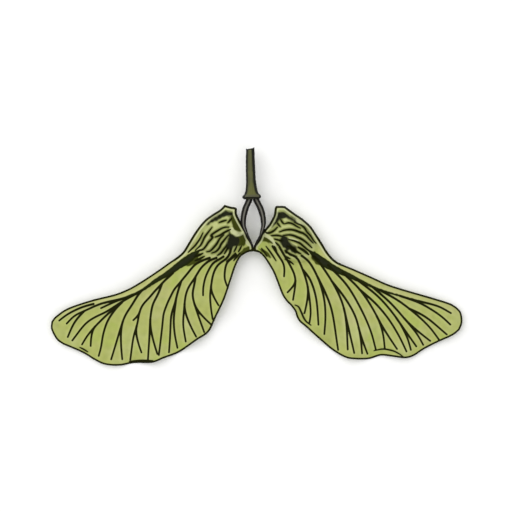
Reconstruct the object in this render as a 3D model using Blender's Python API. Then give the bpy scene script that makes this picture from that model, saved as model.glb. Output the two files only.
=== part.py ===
"""A paired maple samara with its cut stalk, lying on its face on a level surface.

The model is in metres, +Z up. The stalk points towards +Y, one winged nutlet spreads to each side along X, and the
origin is on the surface, under the middle of the model's box. Every length below is in millimetres; MM turns it into
metres where the meshes are written.
"""

import math
from dataclasses import dataclass

import bmesh
import bpy
import numpy as np
from mathutils.geometry import delaunay_2d_cdt

MM = 0.001

# Heights of the winged nutlets above the surface.
REST_HEIGHT = 2.45
NUTLET_HALF_THICKNESS = 2.65
WING_LENGTH = 36.0
WING_WIDTH = 16.0
TIP_DROOP = 1.25
CAMBER = 1.02
WAVE_HEIGHT = 0.55
WAVE_LENGTH = 9.0
STIFF_LENGTH = 5.0
FLANK_WIDTH = 2.4
FLANK_START = 0.22

# Thickness of the blade, and how far its ribs, veins and wrinkles stand out of it or sink in.
BLADE_THICKNESS = 0.62
EDGE_BEAD_HEIGHT = 0.22
EDGE_BEAD_WIDTH = 2.6
RIB_HEIGHT = 0.50
RIB_HALF_WIDTH = 1.1
VEIN_HEIGHT = 0.34
VEIN_END_SHARE = 0.35
VEIN_HALF_WIDTH = 0.38
RIM_INSET = 0.42
RIM_HEIGHT = 0.28
RIM_HALF_WIDTH = 0.4
GROOVE_INSET = 1.15
GROOVE_DEPTH = 0.40
GROOVE_HALF_WIDTH = 0.5
CREASE_DEPTH = 0.34
CREASE_HALF_WIDTH = 0.36
DIMPLE_DEPTH = 0.55
DIMPLE_RADIUS = 1.5

# Spacing of the points that the meshes are built from.
OUTLINE_STEP = 0.95
VEIN_STEP = 1.15
CREASE_STEP = 0.85
WING_FILL = 1.75
NUTLET_FILL = 0.85
MERGE_GAP = 0.28
FLANK_GAP = 0.29
SHOULDER_POINTS = 13

# Stalk and receptacle, turned about the stalk's own line.
STALK_TOP = (-1.25, 21.9)
STALK_MIDDLE = (-1.15, 17.0)
STALK_FOOT = (-0.90, 11.85)
STALK_SIDES = 20
STALK_RIBS = 5
STALK_RIB_DEPTH = 0.05
CUT_SLOPE = 0.22
SOCKET_RADIUS = 1.25
SOCKET_DEPTH = 0.55
FOOT_RADIUS = 1.52

# The stalk's radius at shares of its length, from the cut end to the foot of the receptacle.
STALK_PROFILE = ((0.0, 0.82), (0.15, 0.86), (0.30, 0.90), (0.55, 0.98), (0.72, 1.10), (0.82, 1.33), (0.89, 1.62),
                 (0.93, 1.80), (0.96, 1.84), (0.985, 1.74), (1.0, FOOT_RADIUS))
STALK_STEP = 0.2

# Forked arms between the receptacle and the nutlets.
ARM_ROOT_RADIUS = 0.56
ARM_TIP_RADIUS = 0.24
ARM_SIDES = 12
ARM_STEP = 0.55
HUB_RADIUS = 0.90
HUB_LENGTH = 0.80
MEETING_GAP = 0.30


@dataclass(frozen=True)
class Vein:
    """One vein: it passes through three points, and its forks leave it at a share of its length."""

    start: tuple
    middle: tuple
    end: tuple
    forks: tuple = ()


@dataclass(frozen=True)
class Samara:
    """One winged nutlet, seen from above."""

    name: str
    inner: tuple
    leading: tuple
    tip: tuple
    trailing: tuple
    rib: tuple
    veins: tuple
    creases: tuple
    nutlet: tuple
    nutlet_radii: tuple
    nutlet_turn: float
    dimple: tuple
    wave_phase: float


LEFT = Samara(
    name="samara_left",
    inner=((-6.4, 10.7), (-5.2, 10.35), (-4.0, 10.05), (-3.9, 8.9), (-3.3, 7.6), (-2.7, 6.5), (-2.1, 5.5),
           (-1.5, 4.0), (-0.8, 3.0), (-0.45, 2.3), (-0.35, 1.4)),
    leading=((-6.4, 10.7), (-7.3, 9.8), (-8.7, 8.9), (-10.1, 7.9), (-11.4, 6.5), (-12.6, 4.8), (-13.7, 3.0),
             (-14.7, 1.5), (-15.9, 0.4), (-17.7, -0.8), (-21.0, -2.9), (-25.7, -6.0), (-28.5, -7.2),
             (-33.1, -8.4), (-37.8, -10.1), (-40.4, -11.8), (-41.2, -12.6)),
    tip=((-41.2, -12.6), (-41.3, -14.0), (-40.8, -15.3), (-40.0, -16.5), (-38.9, -17.3)),
    trailing=((-38.9, -17.3), (-35.0, -19.0), (-32.5, -20.5), (-30.4, -21.4), (-27.5, -21.6), (-24.6, -21.1),
              (-21.0, -21.0), (-18.6, -20.1), (-15.5, -18.9), (-11.9, -16.4), (-9.6, -14.8), (-8.1, -11.8),
              (-6.4, -8.2), (-5.1, -4.4), (-4.2, -1.7), (-3.3, 0.0), (-2.3, 0.9), (-1.2, 1.3), (-0.35, 1.4)),
    rib=((-10.9, 1.2), (-14.5, -1.1), (-19.6, -4.3), (-23.5, -6.6), (-27.4, -8.2), (-31.0, -9.0)),
    veins=(
        Vein((-4.9, 0.3), (-6.3, -2.4), (-5.8, -5.5)),
        Vein((-7.0, -0.5), (-9.1, -6.2), (-8.8, -12.2), ((0.55, (-7.6, -9.2)),)),
        Vein((-8.3, -0.6), (-10.3, -4.2), (-10.7, -7.2)),
        Vein((-12.2, -3.4), (-12.9, -8.8), (-10.5, -14.8), ((0.50, (-9.2, -13.2)),)),
        Vein((-8.6, -0.2), (-14.2, -7.0), (-14.2, -16.7), ((0.68, (-12.1, -15.7)),)),
        Vein((-12.3, -1.1), (-16.1, -8.0), (-17.6, -18.9), ((0.73, (-15.9, -18.0)),)),
        Vein((-15.0, -4.6), (-18.4, -10.6), (-19.6, -19.4)),
        Vein((-17.6, -3.5), (-21.1, -10.2), (-21.8, -20.3), ((0.60, (-19.9, -19.2)),)),
        Vein((-19.1, -5.3), (-23.4, -10.6), (-25.4, -20.4), ((0.50, (-25.0, -12.8)), (0.75, (-23.1, -18.9)))),
        Vein((-23.0, -7.1), (-26.8, -12.3), (-29.2, -20.3), ((0.60, (-27.0, -20.3)),)),
        Vein((-27.4, -9.4), (-29.9, -13.3), (-31.7, -19.6)),
        Vein((-29.6, -10.7), (-32.7, -14.1), (-35.0, -17.3), ((0.60, (-33.4, -17.6)),)),
        Vein((-24.2, -7.3), (-31.5, -11.5), (-36.9, -16.5)),
        Vein((-28.0, -8.6), (-34.3, -10.5), (-37.9, -15.8), ((0.62, (-38.1, -13.0)),)),
        Vein((-32.8, -9.1), (-36.3, -10.4), (-39.5, -12.4)),
    ),
    creases=(
        ((-8.8, 6.0), (-10.2, 4.2), (-11.7, 2.0)),
        ((-10.7, 5.0), (-12.3, 2.9), (-13.4, 1.4)),
        ((-5.7, 6.1), (-7.4, 5.7), (-8.8, 4.4), (-10.0, 2.9), (-10.9, 1.6)),
        ((-5.2, 5.5), (-6.5, 4.9), (-8.0, 4.0), (-8.9, 2.2), (-9.7, 1.3)),
        ((-6.2, 4.0), (-7.2, 2.6), (-8.2, 1.1)),
        ((-5.9, 2.5), (-6.7, 1.4), (-7.5, 0.5)),
        ((-5.0, 1.8), (-5.5, 0.6), (-6.5, -0.2)),
    ),
    nutlet=(-6.9, 5.0),
    nutlet_radii=(6.6, 4.7),
    nutlet_turn=math.radians(48),
    dimple=(-4.3, 3.5),
    wave_phase=0.6,
)

RIGHT = Samara(
    name="samara_right",
    inner=((5.7, 10.45), (4.7, 10.5), (3.75, 10.3), (3.4, 8.6), (2.6, 7.0), (1.75, 5.9), (0.95, 4.8), (0.35, 3.6),
           (0.0, 2.5), (-0.05, 1.4)),
    leading=((5.7, 10.45), (6.7, 9.7), (7.8, 8.9), (9.4, 7.8), (10.9, 6.4), (12.0, 4.8), (13.1, 3.1),
             (14.5, 0.9), (16.2, -0.7), (19.6, -2.2), (22.8, -3.6), (26.0, -4.9), (28.8, -5.9), (32.4, -7.0),
             (36.0, -8.1), (38.8, -9.0), (40.2, -9.8)),
    tip=((40.2, -9.8), (41.0, -10.7), (41.3, -11.8), (41.3, -13.1), (40.8, -14.4)),
    trailing=((40.8, -14.4), (39.4, -15.5), (36.4, -16.9), (33.7, -18.3), (31.7, -19.6), (29.9, -20.1),
              (27.4, -19.8), (25.0, -19.6), (22.6, -20.3), (19.7, -20.3), (17.7, -19.9), (15.2, -18.5),
              (12.0, -15.9), (9.2, -13.0), (7.5, -10.3), (6.0, -8.3), (4.6, -5.4), (3.6, -2.8), (2.5, -1.0),
              (1.4, 0.4), (0.6, 1.1), (-0.05, 1.4)),
    rib=((10.6, 1.3), (14.1, -0.9), (18.0, -2.9), (21.5, -4.5), (24.6, -6.0), (28.7, -7.4), (32.4, -8.5)),
    veins=(
        Vein((6.6, -1.2), (7.8, -4.4), (7.4, -8.2)),
        Vein((8.8, -1.2), (10.5, -8.0), (11.0, -14.5), ((0.55, (9.3, -12.0)),)),
        Vein((10.0, -2.0), (12.0, -8.0), (12.4, -13.3)),
        Vein((10.6, -0.8), (13.8, -8.8), (13.6, -15.2)),
        Vein((12.4, -4.0), (15.2, -11.0), (16.4, -18.4)),
        Vein((12.4, -0.4), (17.5, -9.8), (18.3, -18.3), ((0.60, (19.6, -19.0)),)),
        Vein((15.0, -4.6), (19.9, -11.8), (21.2, -19.1), ((0.68, (22.3, -19.2)),)),
        Vein((14.8, -1.4), (21.0, -10.3), (24.0, -18.4)),
        Vein((17.4, -2.7), (23.9, -11.2), (25.8, -18.2), ((0.62, (28.2, -18.2)),)),
        Vein((20.9, -6.6), (26.5, -12.2), (30.1, -18.7)),
        Vein((20.2, -4.2), (28.0, -11.9), (31.0, -18.4), ((0.62, (32.1, -17.7)),)),
        Vein((24.0, -6.4), (30.1, -12.6), (33.5, -17.4), ((0.60, (34.9, -16.6)),)),
        Vein((25.0, -6.5), (32.2, -11.4), (36.7, -16.4)),
        Vein((31.0, -10.3), (34.8, -12.4), (38.2, -15.3)),
        Vein((29.5, -7.8), (35.4, -10.5), (38.9, -13.3)),
        Vein((32.8, -8.6), (36.4, -9.6), (39.0, -11.0)),
    ),
    creases=(
        ((8.0, 6.9), (9.1, 6.4), (10.3, 5.2), (11.5, 3.4)),
        ((8.4, 5.1), (9.7, 4.4), (11.0, 3.1)),
        ((7.8, 4.2), (9.4, 3.3), (10.8, 1.9)),
        ((7.2, 3.0), (8.5, 1.9), (9.7, 0.4)),
        ((5.9, 2.2), (6.9, 0.9), (7.9, -0.3)),
        ((2.0, 5.2), (3.3, 5.4), (4.6, 6.3), (6.2, 6.6)),
        ((3.1, 4.5), (4.9, 4.5), (6.6, 5.0)),
        ((3.6, 3.1), (4.9, 2.1), (5.8, 0.6)),
    ),
    nutlet=(6.6, 5.0),
    nutlet_radii=(6.8, 4.8),
    nutlet_turn=math.radians(132),
    dimple=(5.2, 3.4),
    wave_phase=2.4,
)

# Middle lines of the two arms, from the receptacle down along the nutlets' inner faces.
LEFT_ARM = ((-1.15, 12.0), (-1.75, 10.6), (-2.25, 9.0), (-2.3, 7.6), (-1.85, 6.3), (-1.25, 5.0), (-0.75, 4.0),
            (-0.38, 3.3))
RIGHT_ARM = ((-0.65, 12.0), (0.1, 10.6), (0.85, 9.2), (1.2, 7.8), (0.85, 6.5), (0.35, 5.4), (-0.05, 4.4),
             (-0.22, 3.4))

# Principled BSDF values: colour (linear RGB), roughness, metallic.
FINISHES = {
    "samara_left": ((0.43, 0.47, 0.14), 0.62, 0.0),
    "samara_right": ((0.43, 0.47, 0.14), 0.62, 0.0),
    "pedicel": ((0.09, 0.09, 0.035), 0.70, 0.0),
    "carpophore": ((0.10, 0.09, 0.07), 0.75, 0.0),
}


def clear_scene():
    """Remove whatever the file holds."""
    for item in list(bpy.data.objects):
        bpy.data.objects.remove(item, do_unlink=True)


def smooth_line(points, step):
    """Catmull-Rom curve through the points, cut into even lengths of about one step."""
    knots = np.array(points, dtype=float)
    padded = np.vstack([2 * knots[0] - knots[1], knots, 2 * knots[-1] - knots[-2]])
    share = np.linspace(0.0, 1.0, 12, endpoint=False)[:, None]
    pieces = []
    for before, here, after, beyond in zip(padded, padded[1:], padded[2:], padded[3:]):
        slope = after - before
        bend = 2 * before - 5 * here + 4 * after - beyond
        twist = 3 * here - before - 3 * after + beyond
        pieces.append(0.5 * (2 * here + slope * share + bend * share ** 2 + twist * share ** 3))
    return even_lengths(np.vstack(pieces + [knots[-1:]]), step)


def even_lengths(line, step):
    """The same line with its points about one step apart."""
    lengths = np.concatenate([[0.0], np.cumsum(np.linalg.norm(np.diff(line, axis=0), axis=1))])
    count = max(2, round(lengths[-1] / step) + 1)
    places = np.linspace(0.0, lengths[-1], count)
    return np.column_stack([np.interp(places, lengths, line[:, axis]) for axis in range(line.shape[1])])


def bend_through(start, middle, end):
    """Fine points of the parabola that passes through the middle point half way along."""
    start, middle, end = (np.array(point, dtype=float) for point in (start, middle, end))
    control = 2 * middle - (start + end) / 2
    return parabola(start, control, end)


def parabola(start, control, end):
    """Fine points of a quadratic curve with one control point."""
    share = np.linspace(0.0, 1.0, 33)[:, None]
    return (1 - share) ** 2 * start + 2 * share * (1 - share) * control + share ** 2 * end


def vein_lines(vein):
    """The vein's own line and the lines of its forks, each fork leaving along the vein."""
    trunk = bend_through(vein.start, vein.middle, vein.end)
    lines = [even_lengths(trunk, VEIN_STEP)]
    for share, end in vein.forks:
        index = round(share * (len(trunk) - 2))
        root = trunk[index]
        heading = trunk[index + 1] - root
        reach = 0.3 * np.linalg.norm(np.array(end) - root) / np.linalg.norm(heading)
        lines.append(even_lengths(parabola(root, root + heading * reach, np.array(end)), VEIN_STEP))
    return lines


def nearest(points, line):
    """Distance from each point to a line, and the share of the line's length where it is nearest."""
    span = np.diff(line, axis=0)
    offset = points[:, None, :] - line[None, :-1, :]
    share = np.clip((offset * span).sum(axis=2) / (span ** 2).sum(axis=1), 0.0, 1.0)
    gaps = np.linalg.norm(offset - share[..., None] * span, axis=2)
    best = gaps.argmin(axis=1)
    rows = np.arange(len(points))
    return gaps[rows, best], (best + share[rows, best]) / len(span)


def inside(points, loop):
    """Which points lie inside a closed loop."""
    x, y = points[:, 0:1], points[:, 1:2]
    ahead = np.roll(loop, -1, axis=0)
    crosses = (loop[:, 1] > y) != (ahead[:, 1] > y)
    rise = np.where(ahead[:, 1] == loop[:, 1], 1.0, ahead[:, 1] - loop[:, 1])
    reach = loop[:, 0] + (y - loop[:, 1]) / rise * (ahead[:, 0] - loop[:, 0])
    return (crosses & (x < reach)).sum(axis=1) % 2 == 1


def ease(share):
    """A smooth step from 0 to 1."""
    share = np.clip(share, 0.0, 1.0)
    return share * share * (3 - 2 * share)


def offset_line(line, inset, loop):
    """The line moved sideways into the loop by the inset."""
    heading = np.gradient(line, axis=0)
    heading /= np.linalg.norm(heading, axis=1)[:, None]
    across = np.column_stack([-heading[:, 1], heading[:, 0]])
    moved = line + across * inset
    if not inside(moved[len(moved) // 2][None], loop)[0]:
        moved = line - across * inset
    return moved


class SamaraShape:
    """The curves of one winged nutlet and the heights that they give."""

    def __init__(self, samara):
        self.samara = samara
        self.inner = smooth_line(samara.inner, OUTLINE_STEP)
        self.leading = smooth_line(samara.leading, OUTLINE_STEP)
        self.tip = smooth_line(samara.tip, OUTLINE_STEP)
        self.trailing = smooth_line(samara.trailing, OUTLINE_STEP)
        self.loop = np.vstack([self.leading[:-1], self.tip[:-1], self.trailing[:-1], self.inner[:0:-1]])
        self.rib = smooth_line(samara.rib, VEIN_STEP)
        self.veins = [line for vein in samara.veins for line in vein_lines(vein)]
        self.creases = [smooth_line(crease, CREASE_STEP) for crease in samara.creases]
        self.shoulder = np.vstack([self.inner[:0:-1], self.leading[:SHOULDER_POINTS]])
        self.rim = self.inset_shoulder(RIM_INSET)
        self.groove = self.inset_shoulder(GROOVE_INSET)
        away = np.array(samara.tip[2]) - np.array(samara.nutlet)
        self.direction = away / np.linalg.norm(away)

    def inset_shoulder(self, inset):
        """A line inside the shoulder at one distance, without its points that crowd the corners."""
        line = offset_line(self.shoulder, inset, self.loop)
        gaps = nearest(line, np.vstack([self.loop, self.loop[:1]]))[0]
        return line[(gaps > 0.8 * inset) & inside(line, self.loop)]

    def nutlet_share(self, points):
        """1 in the middle of the nutlet, falling to 0 at its edge."""
        turn = self.samara.nutlet_turn
        axes = np.array([[math.cos(turn), math.sin(turn)], [-math.sin(turn), math.cos(turn)]])
        local = (points - self.samara.nutlet) @ axes.T / self.samara.nutlet_radii
        return np.clip(1 - (local ** 2).sum(axis=1), 0.0, 1.0)

    def middle_height(self, points):
        """Height of the blade's middle: the wing droops to its tip, and its thin edge sags and waves."""
        along = np.clip((points - self.samara.nutlet) @ self.direction - STIFF_LENGTH, 0.0, None)
        across = nearest(points, self.leading)[0] / WING_WIDTH
        grown = ease(along / WAVE_LENGTH)
        wave = WAVE_HEIGHT * np.sin(2 * math.pi * along / WAVE_LENGTH + self.samara.wave_phase)
        sag = across ** 2 * grown * (CAMBER - wave)
        return REST_HEIGHT - TIP_DROOP * ease(along / WING_LENGTH) - sag

    def half_thickness(self, points):
        """Half of the solid's thickness before its fine relief."""
        bead = np.clip(1 - nearest(points, self.leading)[0] / EDGE_BEAD_WIDTH, 0.0, 1.0)
        blade = BLADE_THICKNESS / 2 + EDGE_BEAD_HEIGHT * ease(bead)
        edge = nearest(points, self.shoulder)[0]
        flank = ease(edge / FLANK_WIDTH + FLANK_START)
        bulge = NUTLET_HALF_THICKNESS * self.nutlet_share(points) ** 0.6 * flank
        return np.sqrt(blade ** 2 + bulge ** 2)

    def ridge(self, points, line, half_width, height, end_share):
        """A straight-sided ridge along a line, lower towards the line's end."""
        gap, share = nearest(points, line)
        return height * (1 + (end_share - 1) * share) * np.clip(1 - gap / half_width, 0.0, 1.0)

    def relief(self, points):
        """Ribs, veins and rim standing out of the surface, creases and dimple sinking into it."""
        raised = self.ridge(points, self.rib, RIB_HALF_WIDTH, RIB_HEIGHT, VEIN_END_SHARE)
        for line in self.veins:
            raised = np.maximum(raised, self.ridge(points, line, VEIN_HALF_WIDTH, VEIN_HEIGHT, VEIN_END_SHARE))
        bulge = self.nutlet_share(points)
        raised *= 1 - ease(bulge * 3)
        near_nutlet = ease(bulge * 4)
        edge = nearest(points, self.shoulder)[0]
        raised += near_nutlet * RIM_HEIGHT * np.clip(1 - np.abs(edge - RIM_INSET) / RIM_HALF_WIDTH, 0.0, 1.0)
        groove = np.clip(1 - np.abs(edge - GROOVE_INSET) / GROOVE_HALF_WIDTH, 0.0, 1.0)
        sunk = near_nutlet * GROOVE_DEPTH * groove
        for line in self.creases:
            sunk = np.maximum(sunk, self.ridge(points, line, CREASE_HALF_WIDTH, CREASE_DEPTH, 0.8))
        away = np.linalg.norm(points - self.samara.dimple, axis=1) / DIMPLE_RADIUS
        return raised - sunk - DIMPLE_DEPTH * np.exp(-away ** 2)

    def faces_heights(self, points):
        """Heights of the upper and the lower face at each point; the lower one rests flat where it is low."""
        middle = self.middle_height(points)
        half = self.half_thickness(points)
        relief = self.relief(points)
        least = BLADE_THICKNESS / 2
        upper = middle + np.maximum(half + relief, least)
        resting = ease(self.nutlet_share(points) * 2 - 0.9)
        lower = middle - np.maximum(half + relief * (1 - resting), least)
        lower = np.maximum(lower, 0.0)
        return np.maximum(upper, lower + BLADE_THICKNESS), lower


class PointCloud:
    """Points of a flat mesh, none closer to another than the gap asked for."""

    def __init__(self):
        self.points = np.empty((0, 2))
        self.edges = []

    def index_of(self, point, gap):
        """Index of a point already there within the gap, or of a new one."""
        if len(self.points):
            gaps = np.linalg.norm(self.points - point, axis=1)
            best = int(gaps.argmin())
            if gaps[best] < gap:
                return best
        self.points = np.vstack([self.points, point])
        return len(self.points) - 1

    def add_line(self, line, closed=False):
        """Add a line whose pieces stay edges of the mesh."""
        indices = [self.index_of(point, MERGE_GAP) for point in line]
        if closed:
            indices.append(indices[0])
        self.edges += [(a, b) for a, b in zip(indices, indices[1:]) if a != b]

    def add_if_clear(self, points, gap):
        """Add the points that keep the gap to all others."""
        for point in points:
            if np.linalg.norm(self.points - point, axis=1).min() >= gap:
                self.points = np.vstack([self.points, point])


def flanks(line, half_width):
    """Points on both sides of a line, at the foot of its ridge."""
    heading = np.gradient(line, axis=0)
    heading /= np.linalg.norm(heading, axis=1)[:, None]
    across = np.column_stack([-heading[:, 1], heading[:, 0]]) * half_width
    return np.vstack([line + across, line - across])


def fill_grid(loop, spacing):
    """Points of a triangular grid over the loop's box."""
    low, high = loop.min(axis=0), loop.max(axis=0)
    rows = []
    for row, y in enumerate(np.arange(low[1], high[1], spacing * 0.866)):
        x = np.arange(low[0] + (row % 2) * spacing / 2, high[0], spacing)
        rows.append(np.column_stack([x, np.full_like(x, y)]))
    return np.vstack(rows)


def flat_mesh(shape):
    """Points and triangles of the samara's outline, with edges along every rib, vein and crease."""
    cloud = PointCloud()
    cloud.add_line(shape.loop, closed=True)
    border = np.vstack([shape.loop, shape.loop[:1]])
    crests = [shape.rib, *shape.veins, *shape.creases, shape.rim, shape.groove]
    for line in crests:
        cloud.add_line(line[nearest(line, border)[0] > MERGE_GAP])
    add_flanks(cloud, shape, shape.rib, RIB_HALF_WIDTH, crests, border)
    for line in shape.veins:
        add_flanks(cloud, shape, line, VEIN_HALF_WIDTH, crests, border)
    for line in shape.creases:
        add_flanks(cloud, shape, line, CREASE_HALF_WIDTH, crests, border)
    for spacing, least in ((NUTLET_FILL, 0.05), (WING_FILL, -1.0)):
        grid = fill_grid(shape.loop, spacing)
        grid = grid[inside(grid, shape.loop) & (nearest(grid, border)[0] > 0.5 * spacing)]
        grid = grid[shape.nutlet_share(grid) > least]
        cloud.add_if_clear(grid, 0.62 * spacing)
    result = delaunay_2d_cdt([tuple(point) for point in cloud.points], cloud.edges, [], 1, 1e-5)
    return np.array([tuple(point) for point in result[0]]), result[2]


def add_flanks(cloud, shape, line, half_width, crests, border):
    """Add the feet of one ridge where they are clear of the outline and of other ridges."""
    feet = flanks(line, half_width)
    feet = feet[inside(feet, shape.loop) & (nearest(feet, border)[0] > MERGE_GAP)]
    for other in crests:
        feet = feet[nearest(feet, other)[0] > 0.8 * min(half_width, FLANK_GAP)]
    cloud.add_if_clear(feet, FLANK_GAP)


def make_object(name, mesh_builder, smooth_angle):
    """Turn a bmesh in millimetres into a named, shaded object with its own finish."""
    bmesh.ops.recalc_face_normals(mesh_builder, faces=mesh_builder.faces)
    bmesh.ops.scale(mesh_builder, vec=(MM, MM, MM), verts=mesh_builder.verts)
    mesh = bpy.data.meshes.new(name)
    mesh_builder.to_mesh(mesh)
    mesh_builder.free()
    mesh.shade_smooth()
    mesh.set_sharp_from_angle(angle=smooth_angle)
    mesh.materials.append(make_finish(name))
    item = bpy.data.objects.new(name, mesh)
    bpy.context.collection.objects.link(item)
    return item


def make_finish(name):
    """A Principled material with the piece's colour."""
    colour, roughness, metallic = FINISHES[name]
    finish = bpy.data.materials.new(name + "_finish")
    finish.use_nodes = True
    shader = finish.node_tree.nodes["Principled BSDF"]
    shader.inputs["Base Color"].default_value = (*colour, 1.0)
    shader.inputs["Roughness"].default_value = roughness
    shader.inputs["Metallic"].default_value = metallic
    return finish


def make_samara(samara):
    """One winged nutlet: the flat mesh is extruded, then both faces take their heights."""
    shape = SamaraShape(samara)
    points, triangles = flat_mesh(shape)
    upper, lower = shape.faces_heights(points)
    builder = bmesh.new()
    lower_verts = [builder.verts.new((x, y, z)) for (x, y), z in zip(points, lower)]
    for triangle in triangles:
        builder.faces.new([lower_verts[index] for index in triangle])
    made = bmesh.ops.extrude_face_region(builder, geom=list(builder.faces), use_keep_orig=True)
    raised = [item for item in made["geom"] if isinstance(item, bmesh.types.BMVert)]
    places = {(round(x, 4), round(y, 4)): z for (x, y), z in zip(points, upper)}
    for vert in raised:
        vert.co.z = places[(round(vert.co.x, 4), round(vert.co.y, 4))]
    loose = [vert for vert in builder.verts if not vert.link_faces]
    bmesh.ops.delete(builder, geom=loose, context="VERTS")
    return make_object(samara.name, builder, math.radians(40))


def sweep(builder, line, radii, sides, ripple=0.0, ripples=1):
    """A round tube along a line that lies at one height, closed at both ends."""
    heading = np.gradient(line, axis=0)
    heading /= np.linalg.norm(heading, axis=1)[:, None]
    rings = []
    for (x, y), (along_x, along_y), radius in zip(line, heading, radii):
        ring = []
        for side in range(sides):
            angle = 2 * math.pi * side / sides
            reach = radius * (1 + ripple * math.cos(ripples * angle))
            across = reach * math.cos(angle)
            place = (x - along_y * across, y + along_x * across, REST_HEIGHT + reach * math.sin(angle))
            ring.append(builder.verts.new(place))
        rings.append(ring)
    for ring, following in zip(rings, rings[1:]):
        for side in range(sides):
            beyond = (side + 1) % sides
            builder.faces.new((ring[side], ring[beyond], following[beyond], following[side]))
    builder.faces.new(rings[0])
    builder.faces.new(rings[-1])
    return rings


def make_pedicel():
    """Cut stalk that flares into a lipped receptacle, with a socket in its foot for the fork."""
    line = smooth_line((STALK_TOP, STALK_MIDDLE, STALK_FOOT), STALK_STEP)
    foot = len(line) - 1
    shares, widths = zip(*STALK_PROFILE)
    picks = np.unique(np.round(np.array(shares) * foot).astype(int))
    radii = np.interp(picks / foot, shares, widths)
    builder = bmesh.new()
    rings = sweep(builder, line[picks], radii, STALK_SIDES, STALK_RIB_DEPTH, STALK_RIBS)
    for vert in rings[0]:
        vert.co.y += CUT_SLOPE * (vert.co.x - STALK_TOP[0])
    foot_face = min(builder.faces, key=lambda face: face.calc_center_median().y)
    bmesh.ops.recalc_face_normals(builder, faces=builder.faces)
    bmesh.ops.inset_region(builder, faces=[foot_face], thickness=FOOT_RADIUS - SOCKET_RADIUS)
    made = bmesh.ops.extrude_discrete_faces(builder, faces=[foot_face])
    heading = line[-1] - line[-2]
    heading /= np.linalg.norm(heading)
    socket = made["faces"][0]
    bmesh.ops.translate(builder, verts=socket.verts, vec=(*(-heading * SOCKET_DEPTH), 0.0))
    bmesh.ops.triangulate(builder, faces=builder.faces)
    return make_object("pedicel", builder, math.radians(50))


def make_arm(name, points):
    """One tapering arm of the fork."""
    line = smooth_line(points, ARM_STEP)
    radii = np.linspace(ARM_ROOT_RADIUS, ARM_TIP_RADIUS, len(line))
    radii[-1] *= 0.55
    builder = bmesh.new()
    sweep(builder, line, radii, ARM_SIDES)
    return make_object(name, builder, math.radians(50))


def make_carpophore():
    """Two bowed arms grown from one root, which sits in the receptacle's socket."""
    left = make_arm("carpophore", LEFT_ARM)
    right = make_arm("carpophore", RIGHT_ARM)
    root_y = STALK_FOOT[1] + SOCKET_DEPTH - MEETING_GAP
    root = np.array([(STALK_FOOT[0], root_y), (STALK_FOOT[0], root_y - 0.4), (STALK_FOOT[0], root_y - HUB_LENGTH)])
    builder = bmesh.new()
    sweep(builder, root, (0.85 * HUB_RADIUS, HUB_RADIUS, 0.75 * HUB_RADIUS), ARM_SIDES)
    hub = make_object("carpophore", builder, math.radians(50))
    for arm in (left, right):
        union(hub, arm)
    return hub


def union(target, tool):
    """Join one closed piece into another and remove it."""
    joining = target.modifiers.new("Join", "BOOLEAN")
    joining.operation = "UNION"
    joining.solver = "EXACT"
    joining.object = tool
    graph = bpy.context.evaluated_depsgraph_get()
    joined = bpy.data.meshes.new_from_object(target.evaluated_get(graph))
    target.modifiers.remove(joining)
    target.data = joined
    bpy.data.objects.remove(tool, do_unlink=True)


def centre_on_surface(pieces):
    """Move all pieces together until the origin is under the middle of their box."""
    corners = np.vstack([[tuple(vert.co) for vert in piece.data.vertices] for piece in pieces])
    middle = (corners.min(axis=0) + corners.max(axis=0)) / 2
    for piece in pieces:
        piece.location = (-middle[0], -middle[1], 0.0)


def main():
    """Build the four pieces."""
    clear_scene()
    pieces = [make_samara(LEFT), make_samara(RIGHT), make_pedicel(), make_carpophore()]
    pieces[-1].name = "carpophore"
    centre_on_surface(pieces)


main()
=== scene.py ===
"""The looks of a paired maple samara: two winged nutlets, the fork that holds them and their cut stalk.

Plans and sizes are in millimetres, seen from above, with the stalk towards +Y.
A run of a plan gives x and y in turn.
Finished meshes are in metres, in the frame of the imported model, and every piece rides on the one body.
"""

import logging
import math
from dataclasses import dataclass, field
from enum import Enum

import bpy
import numpy as np
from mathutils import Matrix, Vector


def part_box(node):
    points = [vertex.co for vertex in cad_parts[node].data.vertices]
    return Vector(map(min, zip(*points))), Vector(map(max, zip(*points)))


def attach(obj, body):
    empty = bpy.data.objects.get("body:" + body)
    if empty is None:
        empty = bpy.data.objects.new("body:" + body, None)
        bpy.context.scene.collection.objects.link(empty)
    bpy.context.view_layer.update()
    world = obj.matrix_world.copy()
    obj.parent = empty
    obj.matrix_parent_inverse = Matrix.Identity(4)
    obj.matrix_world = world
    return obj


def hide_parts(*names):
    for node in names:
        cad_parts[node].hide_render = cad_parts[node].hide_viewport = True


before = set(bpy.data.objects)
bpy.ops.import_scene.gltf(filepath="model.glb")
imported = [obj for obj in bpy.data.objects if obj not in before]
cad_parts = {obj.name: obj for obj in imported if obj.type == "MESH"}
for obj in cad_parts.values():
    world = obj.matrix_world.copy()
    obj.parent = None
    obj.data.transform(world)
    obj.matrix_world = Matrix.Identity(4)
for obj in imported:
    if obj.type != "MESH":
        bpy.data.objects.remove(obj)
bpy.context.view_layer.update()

MM = 0.001
LOG = logging.getLogger("samara")

# Steps between the points that curves are drawn with, in millimetres.
FINE_STEP = 0.05
BOX_STEP = 0.1
PATCH_STEP = 0.2
OUTLINE_STEP = 0.3
VEIN_STEP = 0.35
RIB_STEP = 0.5

# Points of a smooth curve between two of its knots, and of a parabola.
SPAN_POINTS = 16
PARABOLA_POINTS = 33

# Rounds of smoothing that take a vein's kinks out, and the share of a fork that first follows its vein.
SMOOTH_PASSES = 6
FORK_FOLLOW = 0.3

# The waves of an uneven field: their number, their shares of its length, and what brings them near -1 to 1.
WAVE_COUNT = 14
SHORT_WAVE, WAVE_SPREAD = 0.6, 0.8
WAVE_SUM = 5.0

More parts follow.
